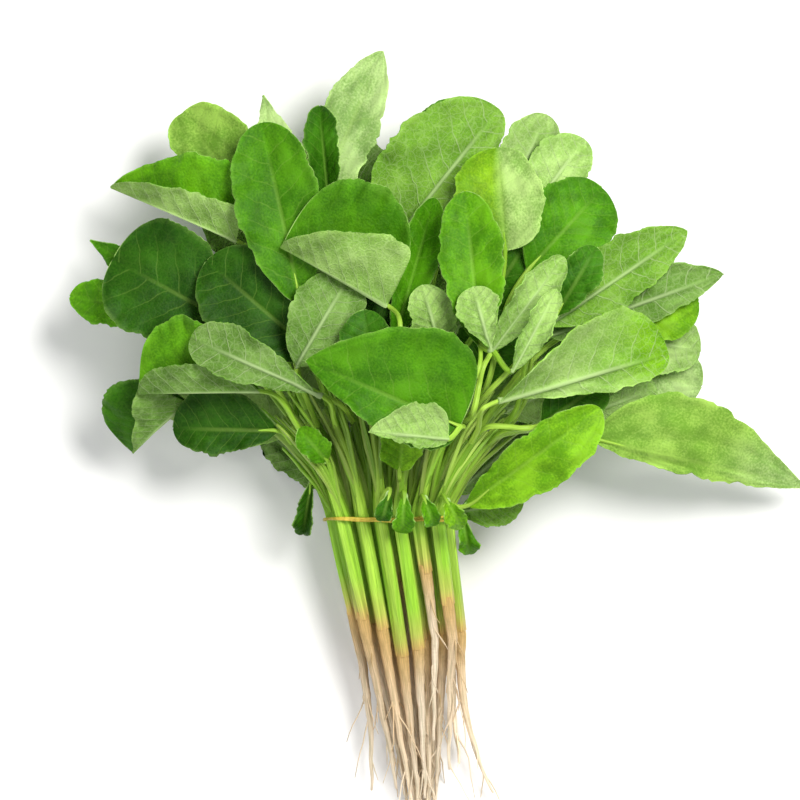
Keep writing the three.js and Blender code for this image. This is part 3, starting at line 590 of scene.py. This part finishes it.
def smooth_noise(x, seed, octaves=3):
    """A sum of sines with seeded phases, about -1 to 1."""
    source = np.random.default_rng(seed)
    total = 0
    for k in range(octaves):
        total = total + np.sin(2 * np.pi * (x * (k + 1.3) + source.random())) / (k + 1.3)
    return total / 1.5


def linear(colour):
    c = np.array(colour) / 255
    return np.where(c <= 0.04045, c / 12.92, ((c + 0.055) / 1.055) ** 2.4)


class Piece:
    """Collects triangles, colours and leaf coordinates, and makes one mesh of them."""

    def __init__(self):
        self.points, self.faces, self.slots, self.tints, self.marks = [], [], [], [], []
        self.count = 0

    def add(self, points, faces, slot, tint, marks):
        """Slot is one number or one for each face; tint has four columns; marks are leaf coordinates."""
        used, compact = np.unique(faces, return_inverse=True)
        faces = compact.reshape(-1, 3)
        self.points.append(points[used])
        self.faces.append(faces + self.count)
        self.slots.append(np.broadcast_to(slot, len(faces)))
        self.tints.append(np.broadcast_to(tint, (len(points), 4))[used])
        self.marks.append(marks[used])
        self.count += len(used)

    def make(self, name, materials):
        points = np.vstack(self.points) * MM
        faces = np.vstack(self.faces)
        mesh = bpy.data.meshes.new(name)
        mesh.from_pydata(points.tolist(), [], faces.tolist())
        for material in materials:
            mesh.materials.append(material)
        mesh.polygons.foreach_set("material_index", np.concatenate(self.slots).astype(np.int32))
        tint = mesh.color_attributes.new("tint", "FLOAT_COLOR", "POINT")
        tint.data.foreach_set("color", np.vstack(self.tints).astype(np.float32).ravel())
        marks = mesh.attributes.new("marks", "FLOAT_VECTOR", "POINT")
        marks.data.foreach_set("vector", np.vstack(self.marks).astype(np.float32).ravel())
        mesh.polygons.foreach_set("use_smooth", np.ones(len(faces), bool))
        mesh.set_sharp_from_angle(angle=math.radians(58))
        mesh.update()
        piece = bpy.data.objects.new(name, mesh)
        bpy.context.scene.collection.objects.link(piece)
        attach(piece, "root")
        return piece


def blade_tints(leaf, uu, vv, seed):
    """Colours over a blade's upper and under face: mottled, with painted shade in streaks along the side
    veins, paler at the margin as a painted highlight, the right half painted lighter where a leaf asks for
    it, and its own flush.
    """
    source = np.random.default_rng(seed + 6)
    both = []
    for name, table in ((leaf["top"], TOPS), (leaf["under"], UNDERS)):
        colour = linear(table[name]) * source.uniform(0.9, 1.1)
        tint = np.broadcast_to(colour, uu.shape + (3,))
        # The right half of the upper face is drawn toward a pale under-face colour: painted light, where
        # that half faces the lamp.
        if table is TOPS and leaf["rightPaintedLight"]:
            painted_light_half = np.clip(0.5 - 3 * vv, 0, 1)[..., None]
            tint = mix(tint, linear(UNDERS[leaf["rightPaintedLight"]]), painted_light_half)
        if leaf["flush"]:
            reach = np.clip((uu - 0.5) / 0.35 - 0.4 * vv**2, 0, 1)[..., None]
            tint = mix(tint, linear(TOPS[leaf["flush"]]), reach)
        patches = smooth_noise(uu * 1.9 + vv * 0.8, seed + 7) + smooth_noise(vv * 1.6 - uu, seed + 8)
        # Streaks slanting like the side veins, stronger towards the margin: painted shade of the folds
        # between the veins.
        streaks = smooth_noise(uu * 3.4 - np.abs(vv) * 1.3, seed + 9)
        tint = tint * (1 + 0.13 * patches + 0.12 * streaks * np.abs(vv))[..., None]
        # Paler towards the margin: a painted highlight along the leaf's edge.
        rim = np.clip((np.abs(vv) - 0.9) / 0.1, 0, 1)[..., None]
        both.append(mix(tint, tint * 1.15 + np.array([0.05, 0.07, 0.02]), rim).reshape(-1, 3))
    return both


def add_blade(piece, one, seed):
    leaf = one["leaf"]
    u = (1 - np.cos(np.pi * np.arange(BLADE_STEPS + 1) / BLADE_STEPS)) / 2
    s = np.arange(-HALF_STEPS, HALF_STEPS + 1) / HALF_STEPS
    v = np.sign(s) * np.abs(s) ** 1.35
    uu, vv = np.meshgrid(u, v, indexing="ij")
    side_seed = np.where(vv > 0, 0.0, 0.5)
    bow = np.sqrt(4 * uu * (1 - uu))
    length = np.linalg.norm(leaf["chord"])
    room = min(1, leaf["left"] / 14, leaf["right"] / 14)
    along = uu * length
    edge = LOBES * smooth_noise(along / 26 + side_seed, seed)
    edge += 0.5 * LOBES * smooth_noise(along / 9 + side_seed, seed + 1)
    edge = (edge + TEETH * smooth_noise(along / 3.2 + side_seed, seed + 2)) * bow * vv**2
    edge = edge / np.where(vv > 0, leaf["left"], leaf["right"])
    ruffle = np.abs(vv) ** 3 * smooth_noise(along / 17 + side_seed, seed + 3)
    ruffle = ruffle * RUFFLE + 0.35 * np.abs(vv) ** 4 * smooth_noise(along / 5 + side_seed, seed + 4)
    buckle = 0.5 + 0.5 * smooth_noise(along / 34 + vv * 0.6 + side_seed, seed + 5, 2)
    ruffle = (ruffle + BUCKLE * buckle * np.abs(vv)) * bow * room
    surface, width = blade_surface(leaf, u, v, edge, ruffle)
    raised = one["raised"].reshape(len(KNOTS_U), len(KNOTS_V))
    raised = curve_through(KNOTS_U, raised, u)
    surface[..., 2] += curve_through(KNOTS_V, raised.T, v).T

    # leaf coordinates: along and across in millimetres, and the count of side veins passed
    down, out = uu * length, vv * width
    spacing = VEIN_SPACING * length / 75
    veins = (down - 0.62 * np.abs(out) - 0.004 * out**2) / spacing + side_seed
    marks = np.stack([down, out, veins], axis=-1).reshape(-1, 3)

    # raised between the veins on the upper face
    du, dv = np.gradient(surface, axis=0), np.gradient(surface, axis=1)
    normal = np.cross(du, dv)
    normal[[0, -1]] = normal[[1, -2]]
    normal /= np.linalg.norm(normal, axis=-1, keepdims=True) + 1e-9
    if np.sum(normal * leaf["up"], axis=-1).mean() < 0:
        normal = -normal
    turned = -1 if leaf["turned"] else 1
    bulge = np.abs(np.sin(np.pi * veins)) ** 0.7 * np.clip(np.abs(out) / 5, 0, 1) * (1 - vv**4) * bow
    groove = np.exp(-(out / 1.3) ** 2) * (1 - 0.7 * uu)
    surface = surface + (turned * (QUILT * bulge - 0.5 * groove))[..., None] * normal
    ridge = SKIN + RIDGE * np.exp(-(out / 0.85) ** 2) * (1 - 0.8 * uu)
    ridge = ridge + 0.12 * (1 - bulge) * np.clip(bow, 0, 1)
    over = SKIN if turned > 0 else ridge
    below = ridge if turned > 0 else SKIN
    upper = surface + np.broadcast_to(over, uu.shape)[..., None] * normal
    lower = surface - np.broadcast_to(below, uu.shape)[..., None] * normal
    points = np.vstack([upper.reshape(-1, 3), lower.reshape(-1, 3)])
    points[:, 2] = np.maximum(points[:, 2], 0.05)

    count = len(marks)
    edges = np.vstack([FINE[:, [0, 1]], FINE[:, [1, 2]], FINE[:, [2, 0]]])
    known = set(map(tuple, edges.tolist()))
    rim = np.array([e for e in edges.tolist() if (e[1], e[0]) not in known])
    walls = np.vstack([np.column_stack([rim[:, 1], rim[:, 0], rim[:, 0] + count]),
                       np.column_stack([rim[:, 1], rim[:, 0] + count, rim[:, 1] + count])])
    faces = np.vstack([FINE, FINE[:, ::-1] + count, walls])
    slots = np.concatenate([np.full(len(FINE), 1 if leaf["turned"] else 0),
                            np.full(len(FINE), 0 if leaf["turned"] else 1), np.ones(len(walls))])
    top, under = blade_tints(leaf, uu, vv, seed)
    tint = np.vstack([under, top] if leaf["turned"] else [top, under])
    tint = np.column_stack([tint, np.tile(uu.ravel(), 2)])
    triangle = points[faces[len(FINE) // 2]]
    facing = np.cross(triangle[1] - triangle[0], triangle[2] - triangle[0])
    if facing @ normal.reshape(-1, 3)[faces[len(FINE) // 2][0]] < 0:
        faces = faces[:, ::-1]
    piece.add(points, faces, slots, tint, np.tile(marks, (2, 1)))


def add_tube(piece, points, radii, sides, slot, tints, ribs=0.0, seed=0):
    """A smooth tube with rounded ends; tints has one colour for each ring."""
    points, radii = np.asarray(points, float), np.asarray(radii, float)
    tangents = np.gradient(points, axis=0)
    tangents /= np.linalg.norm(tangents, axis=1, keepdims=True)
    side = unit(np.cross(tangents[0], (0, 0, 1) if abs(tangents[0][2]) < 0.9 else (1, 0, 0)))
    angle = 2 * np.pi * np.arange(sides) / sides
    rings, marks = [], []
    travelled = np.concatenate([[0], np.cumsum(np.linalg.norm(np.diff(points, axis=0), axis=1))])
    for i, (point, tangent) in enumerate(zip(points, tangents)):
        side = unit(side - tangent * (side @ tangent))
        other = np.cross(tangent, side)
        radius = radii[i] * (1 + ribs * np.cos(5 * angle + seed))
        spoke = np.cos(angle)[:, None] * side + np.sin(angle)[:, None] * other
        rings.append(point + radius[:, None] * spoke)
        marks.append(np.column_stack([np.full(sides, travelled[i]), radii[i] * np.cos(angle),
                                      radii[i] * np.sin(angle)]))
    first, last = len(points) * sides, len(points) * sides + 1
    ends = [points[0] - tangents[0] * radii[0] * 0.5, points[-1] + tangents[-1] * radii[-1] * 0.8]
    vertices = np.vstack(rings + [ends])
    j = np.arange(sides)
    k = (j + 1) % sides
    faces = [np.column_stack([np.full(sides, first), k, j])]
    for i in range(len(points) - 1):
        a, b = i * sides + j, i * sides + k
        faces += [np.column_stack([a, b, b + sides]), np.column_stack([a, b + sides, a + sides])]
    base = (len(points) - 1) * sides
    faces.append(np.column_stack([base + j, base + k, np.full(sides, last)]))
    tint = np.vstack([np.repeat(tints, sides, axis=0), tints[:1], tints[-1:]])
    tint = np.column_stack([tint, np.ones(len(tint))])
    marks = np.vstack(marks + [marks[0][:1], marks[-1][:1]])
    piece.add(vertices, np.vstack(faces), slot, tint, marks)


def resampled(points, values, count):
    """Points and values along a smooth line through the given points."""
    points = np.asarray(points, float)
    reach = np.concatenate([[0], np.cumsum(np.linalg.norm(np.diff(points, axis=0), axis=1))])
    at = np.linspace(0, reach[-1], count)
    slopes = np.gradient(points, reach, axis=0)
    k = np.clip(np.searchsorted(reach, at) - 1, 0, len(reach) - 2)
    h = (reach[k + 1] - reach[k])[:, None]
    t = (at - reach[k])[:, None] / h
    smooth = ((1 + 2 * t) * (1 - t) ** 2 * points[k] + t * (1 - t) ** 2 * h * slopes[k]
              + t**2 * (3 - 2 * t) * points[k + 1] + t**2 * (t - 1) * h * slopes[k + 1])
    return smooth, np.interp(at, reach, values)


# Materials: what the mottling multiplies a leaf's colour by, and the colour of its veins
LEAF_SHADES = {
    "top": ((0.6, 0.68, 0.5, 1), (1.3, 1.16, 1.4, 1), (0.36, 0.56, 0.1, 1)),
    "under": ((0.7, 0.77, 0.58, 1), (1.2, 1.1, 1.3, 1), (0.62, 0.74, 0.42, 1)),
}
VEIN_STRENGTHS = {"top": (0.3, 0.07, 0.05, 0.4), "under": (0.7, 0.3, 0.22, 0.9)}


class Nodes:
    """A short way to write shader nodes."""

    def __init__(self, name):
        self.material = bpy.data.materials.new(name)
        self.material.use_nodes = True
        self.tree = self.material.node_tree
        self.shader = self.tree.nodes["Principled BSDF"]
        self.output = self.tree.nodes["Material Output"]

    def put(self, socket, value):
        if isinstance(value, bpy.types.NodeSocket):
            self.tree.links.new(value, socket)
        else:
            socket.default_value = value

    def node(self, kind, settings=None, **inputs):
        node = self.tree.nodes.new(kind)
        for key, value in (settings or {}).items():
            setattr(node, key, value)
        for key, value in inputs.items():
            self.put(node.inputs[key.replace("_", " ")], value)
        return node

    def math(self, operation, *values, clamp=False):
        node = self.tree.nodes.new("ShaderNodeMath")
        node.operation = operation
        node.use_clamp = clamp
        for socket, value in zip(node.inputs, values):
            self.put(socket, value)
        return node.outputs[0]

    def blend(self, mode, factor, a, b):
        node = self.tree.nodes.new("ShaderNodeMix")
        node.data_type = "RGBA"
        node.blend_type = mode
        self.put(node.inputs[0], factor)
        self.put(node.inputs[6], a)
        self.put(node.inputs[7], b)
        return node.outputs[2]

    def ramp(self, value, low, high, to_low=0.0, to_high=1.0):
        node = self.tree.nodes.new("ShaderNodeMapRange")
        node.interpolation_type = "SMOOTHSTEP"
        self.put(node.inputs[0], value)
        for socket, number in zip(node.inputs[1:5], (low, high, to_low, to_high)):
            socket.default_value = number
        return node.outputs[0]

    def times(self, a, b):
        return self.math("MULTIPLY", a, b)

    def tinted(self, colour, by):
        return self.blend("MULTIPLY", 1.0, colour, by)

    def edges(self, vector, scale):
        """Distance to the edge of the cell that a point lies in."""
        to_edge = dict(feature="DISTANCE_TO_EDGE")
        return self.node("ShaderNodeTexVoronoi", to_edge, Vector=vector, Scale=scale).outputs["Distance"]

    def let_light_through(self, share, colour, normal):
        """Mixes light that comes through the tissue into the surface, and ends the material."""
        glow = self.node("ShaderNodeBsdfTranslucent", Color=colour, Normal=normal)
        mixed = self.node("ShaderNodeMixShader")
        mixed.inputs[0].default_value = share
        self.put(mixed.inputs[1], self.shader.outputs[0])
        self.put(mixed.inputs[2], glow.outputs[0])
        self.put(self.output.inputs[0], mixed.outputs[0])
        return self.material

    def attribute(self, name):
        return self.node("ShaderNodeAttribute", dict(attribute_name=name))

    def noise(self, vector, scale, detail=2.0):
        return self.node("ShaderNodeTexNoise", Vector=vector, Scale=scale, Detail=detail).outputs[0]

    def bump(self, height, distance, strength=1.0):
        node = self.node("ShaderNodeBump", Height=height, Distance=distance, Strength=strength)
        self.put(self.shader.inputs["Normal"], node.outputs[0])
        return node.outputs[0]


def leaf_material(name, upper):
    """Veins, quilting and mottling of one face of a leaf, from its own coordinates."""
    m = Nodes(name)
    tint = m.attribute("tint")
    marks = m.attribute("marks")
    split = m.node("ShaderNodeSeparateXYZ", Vector=marks.outputs["Vector"])
    down, out, veins = split.outputs
    off_rib = m.math("ABSOLUTE", out)
    plane = m.node("ShaderNodeCombineXYZ", X=down, Y=out, Z=0.0).outputs[0]
    wander = m.noise(plane, 0.09, 3.0)
    counted = m.math("ADD", veins, m.times(m.math("SUBTRACT", wander, 0.5), 0.7))
    from_vein = m.math("ABSOLUTE", m.math("SUBTRACT", m.math("FRACT", counted), 0.5))
    side_vein = m.times(m.ramp(from_vein, 0.44, 0.498), m.ramp(off_rib, 24.0, 5.0))
    midrib = m.times(m.ramp(off_rib, 1.3, 0.3), m.ramp(tint.outputs["Alpha"], 1.0, 0.5))
    shift = m.node("ShaderNodeTexNoise", Vector=plane, Scale=0.25, Detail=1.0)
    scaled = m.node("ShaderNodeVectorMath", dict(operation="SCALE"), Scale=3.0)
    m.put(scaled.inputs[0], shift.outputs["Color"])
    bent = m.node("ShaderNodeVectorMath", dict(operation="ADD"))
    m.put(bent.inputs[0], plane)
    m.put(bent.inputs[1], scaled.outputs[0])
    cells = m.edges(bent.outputs[0], 0.27)
    net = m.ramp(cells, 0.1, 0.0)
    fine_net = m.ramp(m.edges(bent.outputs[0], 0.9), 0.12, 0.0)
    grain = m.noise(plane, 1.1, 4.0)
    mottle = m.math("ADD", m.times(m.noise(plane, 0.055, 4.0), 0.65), m.times(grain, 0.35))
    shade = m.ramp(mottle, 0.4, 0.62)
    face = "top" if upper else "under"
    on_side, on_net, on_fine_net, on_midrib = VEIN_STRENGTHS[face]
    lines = m.times(side_vein, on_side)
    lines = m.math("MAXIMUM", lines, m.times(net, on_net))
    lines = m.math("MAXIMUM", lines, m.times(fine_net, on_fine_net))
    lines = m.math("MAXIMUM", lines, m.times(midrib, on_midrib))
    base = tint.outputs["Color"]
    dark, light, vein = LEAF_SHADES[face]
    body = m.blend("MIX", shade, m.tinted(base, dark), m.tinted(base, light))
    colour = m.blend("MIX", lines, body, m.blend("MIX", 0.5, base, vein))
    m.put(m.shader.inputs["Base Color"], colour)
    m.shader.inputs["Roughness"].default_value = 0.5 if upper else 0.7
    m.shader.inputs["Specular IOR Level"].default_value = 0.12 if upper else 0.06
    relief = m.math("ADD", m.times(m.ramp(cells, 0.0, 0.6), 0.22), m.times(grain, 0.5))
    relief = m.math("ADD", relief, m.times(lines, -0.5 if upper else 0.8))
    bumped = m.bump(relief, 0.0006, 0.8)
    return m.let_light_through(0.24, m.tinted(colour, (1.25, 1.1, 0.5, 1)), bumped)


def fibre_material(name, roughness, gain, streak, rings):
    """Streaks along a stem or root, and fine rings round a root."""
    m = Nodes(name)
    tint = m.attribute("tint").outputs["Color"]
    marks = m.attribute("marks")
    split = m.node("ShaderNodeSeparateXYZ", Vector=marks.outputs["Vector"])
    down, out, up = split.outputs
    stretched = m.node("ShaderNodeCombineXYZ", X=m.times(down, 0.05), Y=out, Z=up).outputs[0]
    streaks = m.noise(stretched, 1.6, 4.0)
    patches = m.noise(marks.outputs["Vector"], 0.12, 2.0)
    dark = m.tinted(tint, (1 - gain, 1 - gain, 1 - gain * 1.2, 1))
    light = m.tinted(tint, (1 + gain, 1 + gain * 0.8, 1 + gain, 1))
    body = m.blend("MIX", m.ramp(streaks, 0.35, 0.68), dark, light)
    body = m.blend("MIX", m.ramp(patches, 0.45, 0.75, 0.0, 0.35), body, dark)
    m.put(m.shader.inputs["Base Color"], body)
    m.shader.inputs["Roughness"].default_value = roughness
    m.shader.inputs["Specular IOR Level"].default_value = 0.35
    height = m.times(streaks, streak)
    if rings:
        along = m.node("ShaderNodeCombineXYZ", X=down, Y=m.times(out, 0.3), Z=m.times(up, 0.3)).outputs[0]
        height = m.math("ADD", height, m.times(m.noise(along, 1.3, 3.0), rings))
    return m.let_light_through(0.15, body, m.bump(height, 0.0006))


# Stems and roots
STEM_GREEN = linear((140, 198, 46))
STEM_LIGHT = linear((176, 218, 78))
STALK_PALE = linear((184, 214, 98))
STEM_BASE = linear((196, 200, 96))
ROOT_HEAD = linear((206, 172, 104))
ROOT_TAN = linear((208, 172, 112))
ROOT_PALE = linear((244, 230, 202))
STRAND_SHARES = (0.8, 0.5, 0.42, 0.34)
NECK_SHADE = 0.62
SIDE_ROOTS = 7
THIN_STALK = {
    "starts": 3, "ends": (34, 58), "aside": (0.12, 0.4), "rise": 2.4, "sink": 5, "radii": (1.1, 0.6),
}


def add_stem(piece, plant, seed):
    """The stalks of one plant, wound loosely round each other inside the stem's outline."""
    points, radii = resampled(*stem_of(plant), 56)
    source = np.random.default_rng(seed)
    tangent = np.gradient(points, axis=0)
    side = np.cross(tangent, (0, 0, 1))
    side /= np.linalg.norm(side, axis=1, keepdims=True)
    upward = np.cross(side, tangent)
    upward /= np.linalg.norm(upward, axis=1, keepdims=True)
    above_crown = (points[:, 1] - CROWN_Y[plant])[:, None]
    t = np.linspace(0, 1, len(points))
    first = source.uniform(0, 2 * math.pi)
    for number, share in enumerate(STRAND_SHARES):
        angle = first + number * 2.3 + source.uniform(-1, 1) * 2.4 * t
        away = (radii * (1 - share))[:, None]
        line = points + away * (np.cos(angle)[:, None] * side + np.sin(angle)[:, None] * upward)
        body = mix(STEM_GREEN, STEM_LIGHT, source.random()) * source.uniform(0.85, 1.15)
        body = body * mix(1, NECK_SHADE, np.clip((points[:, 1:2] - TIE["y"]) / 30, 0, 1))
        colours = mix(STEM_BASE, body, np.clip((above_crown - 3) / 14, 0, 1))
        colours = mix(ROOT_HEAD, colours, np.clip(above_crown / 6, 0, 1))
        add_tube(piece, line, radii * share, 12, 2, colours, ribs=0.08, seed=seed + number)


def add_stalk(piece, stalk, seed):
    radii = stalk_radii(stalk)
    radii[-1] = 0.3
    points, radii = resampled(stalk, radii, 6 * len(stalk))
    tone = np.random.default_rng(seed).random()
    colour = mix(STEM_GREEN, STEM_LIGHT, 0.3 + 0.7 * tone)
    fade = np.linspace(1, 0.9, len(points))[:, None]
    add_tube(piece, points, radii, 8, 2, colour * fade, ribs=0.08, seed=seed)


def add_thin_stalks(piece, plant, seed):
    """Slender stalks that leave a stem near the band and run up between the stems, under the leaves."""
    source = np.random.default_rng(seed)
    for sign in (-1, 1, -1, 1):
        end = source.uniform(*THIN_STALK["ends"])
        aside = sign * source.uniform(*THIN_STALK["aside"])
        points = []
        for t in np.linspace(0, 1, 14):
            point = above_tie(plant, mix(THIN_STALK["starts"], end, t), aside * min(1, 1.6 * t))
            point[2] += THIN_STALK["rise"] * math.sin(math.pi * t) - THIN_STALK["sink"] * t**2
            points.append(point)
        radii = np.linspace(*THIN_STALK["radii"], len(points))
        points, radii = resampled(points, radii, 34)
        colour = mix(STEM_GREEN, STALK_PALE, source.random()) * source.uniform(0.55, 1.1)
        tints = np.repeat(colour[None], len(points), axis=0)
        add_tube(piece, points, radii, 8, 2, tints, ribs=0.08, seed=seed)


def add_root(piece, plant, seed):
    source = np.random.default_rng(seed)
    start, end = CROWN_Y[plant] + 3, ROOT_ENDS_AT[plant]
    t = np.linspace(0, 1, 30)
    points = np.array([below_tie(plant, y) for y in mix(start, end, t)])
    points[:, 0] += ROOT_STRAY.get(plant, 0) * t**2 + 0.5 * smooth_noise(t * 2, seed) * t
    points[:, 2] += 0.4 * smooth_noise(t * 2, seed + 1) * t
    room = 0.46 * PLANT_SPACING * np.array([bundle_at(y)[2] for y in points[:, 1]])
    radii = np.minimum(room, mix(STEM_RADIUS * CROWN_SHARE, ROOT_TIP_RADIUS * 0.7, t**0.7))
    radii = radii * (1 + 0.06 * smooth_noise(t * 7, seed + 2)) * np.clip(0.72 + 6 * t, 0, 1)
    points[:, 2] = np.maximum(points[:, 2], radii + 0.05)
    tone = source.random()
    colours = mix(ROOT_TAN, ROOT_PALE, np.clip(t + 0.5 * tone, 0, 1)[:, None])
    colours = mix(ROOT_HEAD, colours * source.uniform(0.82, 1.08), np.clip(t / 0.3, 0, 1)[:, None])
    add_tube(piece, points, radii, 12, 0, colours, ribs=0.04, seed=seed)
    for _ in range(SIDE_ROOTS):
        add_rootlet(piece, points, colours, source)


def add_rootlet(piece, points, colours, source):
    at = int(source.uniform(4, len(points) - 3))
    tangent = unit(points[at + 1] - points[at])
    sideways = unit(np.array([source.normal(), 0, source.normal() * 0.6]))
    heading = unit(tangent + sideways * source.uniform(0.08, 0.34))
    length = source.uniform(9, 30)
    line = [points[at]]
    for _ in range(7):
        heading = unit(heading + tangent * 0.12 + source.normal(size=3) * 0.14)
        line.append(line[-1] + heading * length / 7)
    line = np.array(line)
    line[:, 2] = np.maximum(line[:, 2], 0.35)
    line[:, 1] = np.maximum(line[:, 1], ROOT_END["y"] - 1)
    radii = np.linspace(0.4, 0.14, len(line))
    tints = np.repeat(colours[at][None] * source.uniform(0.85, 1.15), len(line), axis=0)
    add_tube(piece, line, radii, 5, 0, tints)


# The band
def hull(spots):
    spots = sorted(map(tuple, spots))

    def chain(points):
        found = []
        for p in points:
            while len(found) > 1:
                (ax, ay), (bx, by) = found[-2:]
                if (bx - ax) * (p[1] - ay) - (by - ay) * (p[0] - ax) > 1e-6:
                    break
                found.pop()
            found.append(p)
        return found[:-1]

    return np.array(chain(spots) + chain(spots[::-1]))


def make_band(material):
    angle = 2 * np.pi * np.arange(12) / 12
    spots = []
    for plant in CROWN_Y:
        for centre in (below_tie(plant, TIE["y"] - 1.1), above_tie(plant, 1.1)):
            radius = STEM_RADIUS + BAND["clearance"] + BAND["thickness"] / 2
            spots += [(centre[0] + radius * math.cos(a), centre[2] + radius * math.sin(a)) for a in angle]
    loop = hull(spots)
    loop = np.vstack([loop, loop[:1]])
    reach = np.concatenate([[0], np.cumsum(np.linalg.norm(np.diff(loop, axis=0), axis=1))])
    count, turns = 260, 2
    at = np.linspace(0, turns, count, endpoint=False)
    x = np.interp((at % 1) * reach[-1], reach, loop[:, 0])
    z = np.interp((at % 1) * reach[-1], reach, loop[:, 1])
    y = TIE["y"] + 0.7 * np.sin(np.pi * at) + 0.6 * smooth_noise(at * 3, 5)
    rings = np.column_stack([x, y, z])
    for _ in range(3):
        rings = (np.roll(rings, 1, axis=0) + rings + np.roll(rings, -1, axis=0)) / 3
    tangent = np.roll(rings, -1, axis=0) - np.roll(rings, 1, axis=0)
    tangent /= np.linalg.norm(tangent, axis=1, keepdims=True)
    flat = np.cross(tangent, (0, 1, 0))
    flat /= np.linalg.norm(flat, axis=1, keepdims=True)
    sides = 10
    a = 2 * np.pi * np.arange(sides) / sides
    thick, wide = 0.4 * np.cos(a), 0.55 * np.sin(a)
    across = wide[None, :, None] * np.array([0, 1, 0])
    points = rings[:, None] + thick[None, :, None] * flat[:, None] + across
    i, j = np.meshgrid(np.arange(count), np.arange(sides), indexing="ij")
    ni, nj = (i + 1) % count, (j + 1) % sides
    quad = [i * sides + j, ni * sides + j, ni * sides + nj, i * sides + nj]
    quad = [q.ravel() for q in quad]
    faces = np.vstack([np.column_stack(quad[:3]), np.column_stack([quad[0], quad[2], quad[3]])])
    piece = Piece()
    piece.add(points.reshape(-1, 3), faces, 0, (1, 1, 1, 1), points.reshape(-1, 3))
    made = piece.make("band_loop", [material])
    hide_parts("tie_band")


def rubber_material():
    m = Nodes("rubber_band")
    marks = m.attribute("marks").outputs["Vector"]
    dust = m.noise(marks, 0.5, 4.0)
    colour = m.blend("MIX", m.ramp(dust, 0.35, 0.7), (0.4, 0.3, 0.02, 1), (0.66, 0.52, 0.05, 1))
    m.put(m.shader.inputs["Base Color"], colour)
    m.shader.inputs["Roughness"].default_value = 0.5
    m.bump(m.noise(marks, 2.5, 3.0), 0.0002)
    return m.material


# Everything together
make_stage()
leaf_top = leaf_material("leaf_top", True)
leaf_under = leaf_material("leaf_under", False)
stalk_green = fibre_material("stalk_green", 0.45, 0.16, 0.6, 0.0)
root_tan = fibre_material("root_tan", 0.8, 0.22, 0.8, 0.5)
leaves = lay_all()
for number, plant in enumerate(CROWN_Y):
    shoot = Piece()
    add_stem(shoot, plant, 100 + number)
    for index, one in enumerate(leaves):
        if one["leaf"]["plant"] == plant:
            add_blade(shoot, one, 2000 + 10 * index)
            add_stalk(shoot, one["stalk"], 400 + index)
    add_thin_stalks(shoot, plant, 800 + number)
    made = shoot.make(f"shoot_{plant}_fine", [leaf_top, leaf_under, stalk_green])
    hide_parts(f"shoot_{plant}")
    root = Piece()
    add_root(root, plant, 600 + 5 * number)
    made = root.make(f"root_{plant}_fine", [root_tan])
    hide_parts(f"root_{plant}")
make_band(rubber_material())


def corners(box):
    return [[float(x) for x in corner] for corner in box]
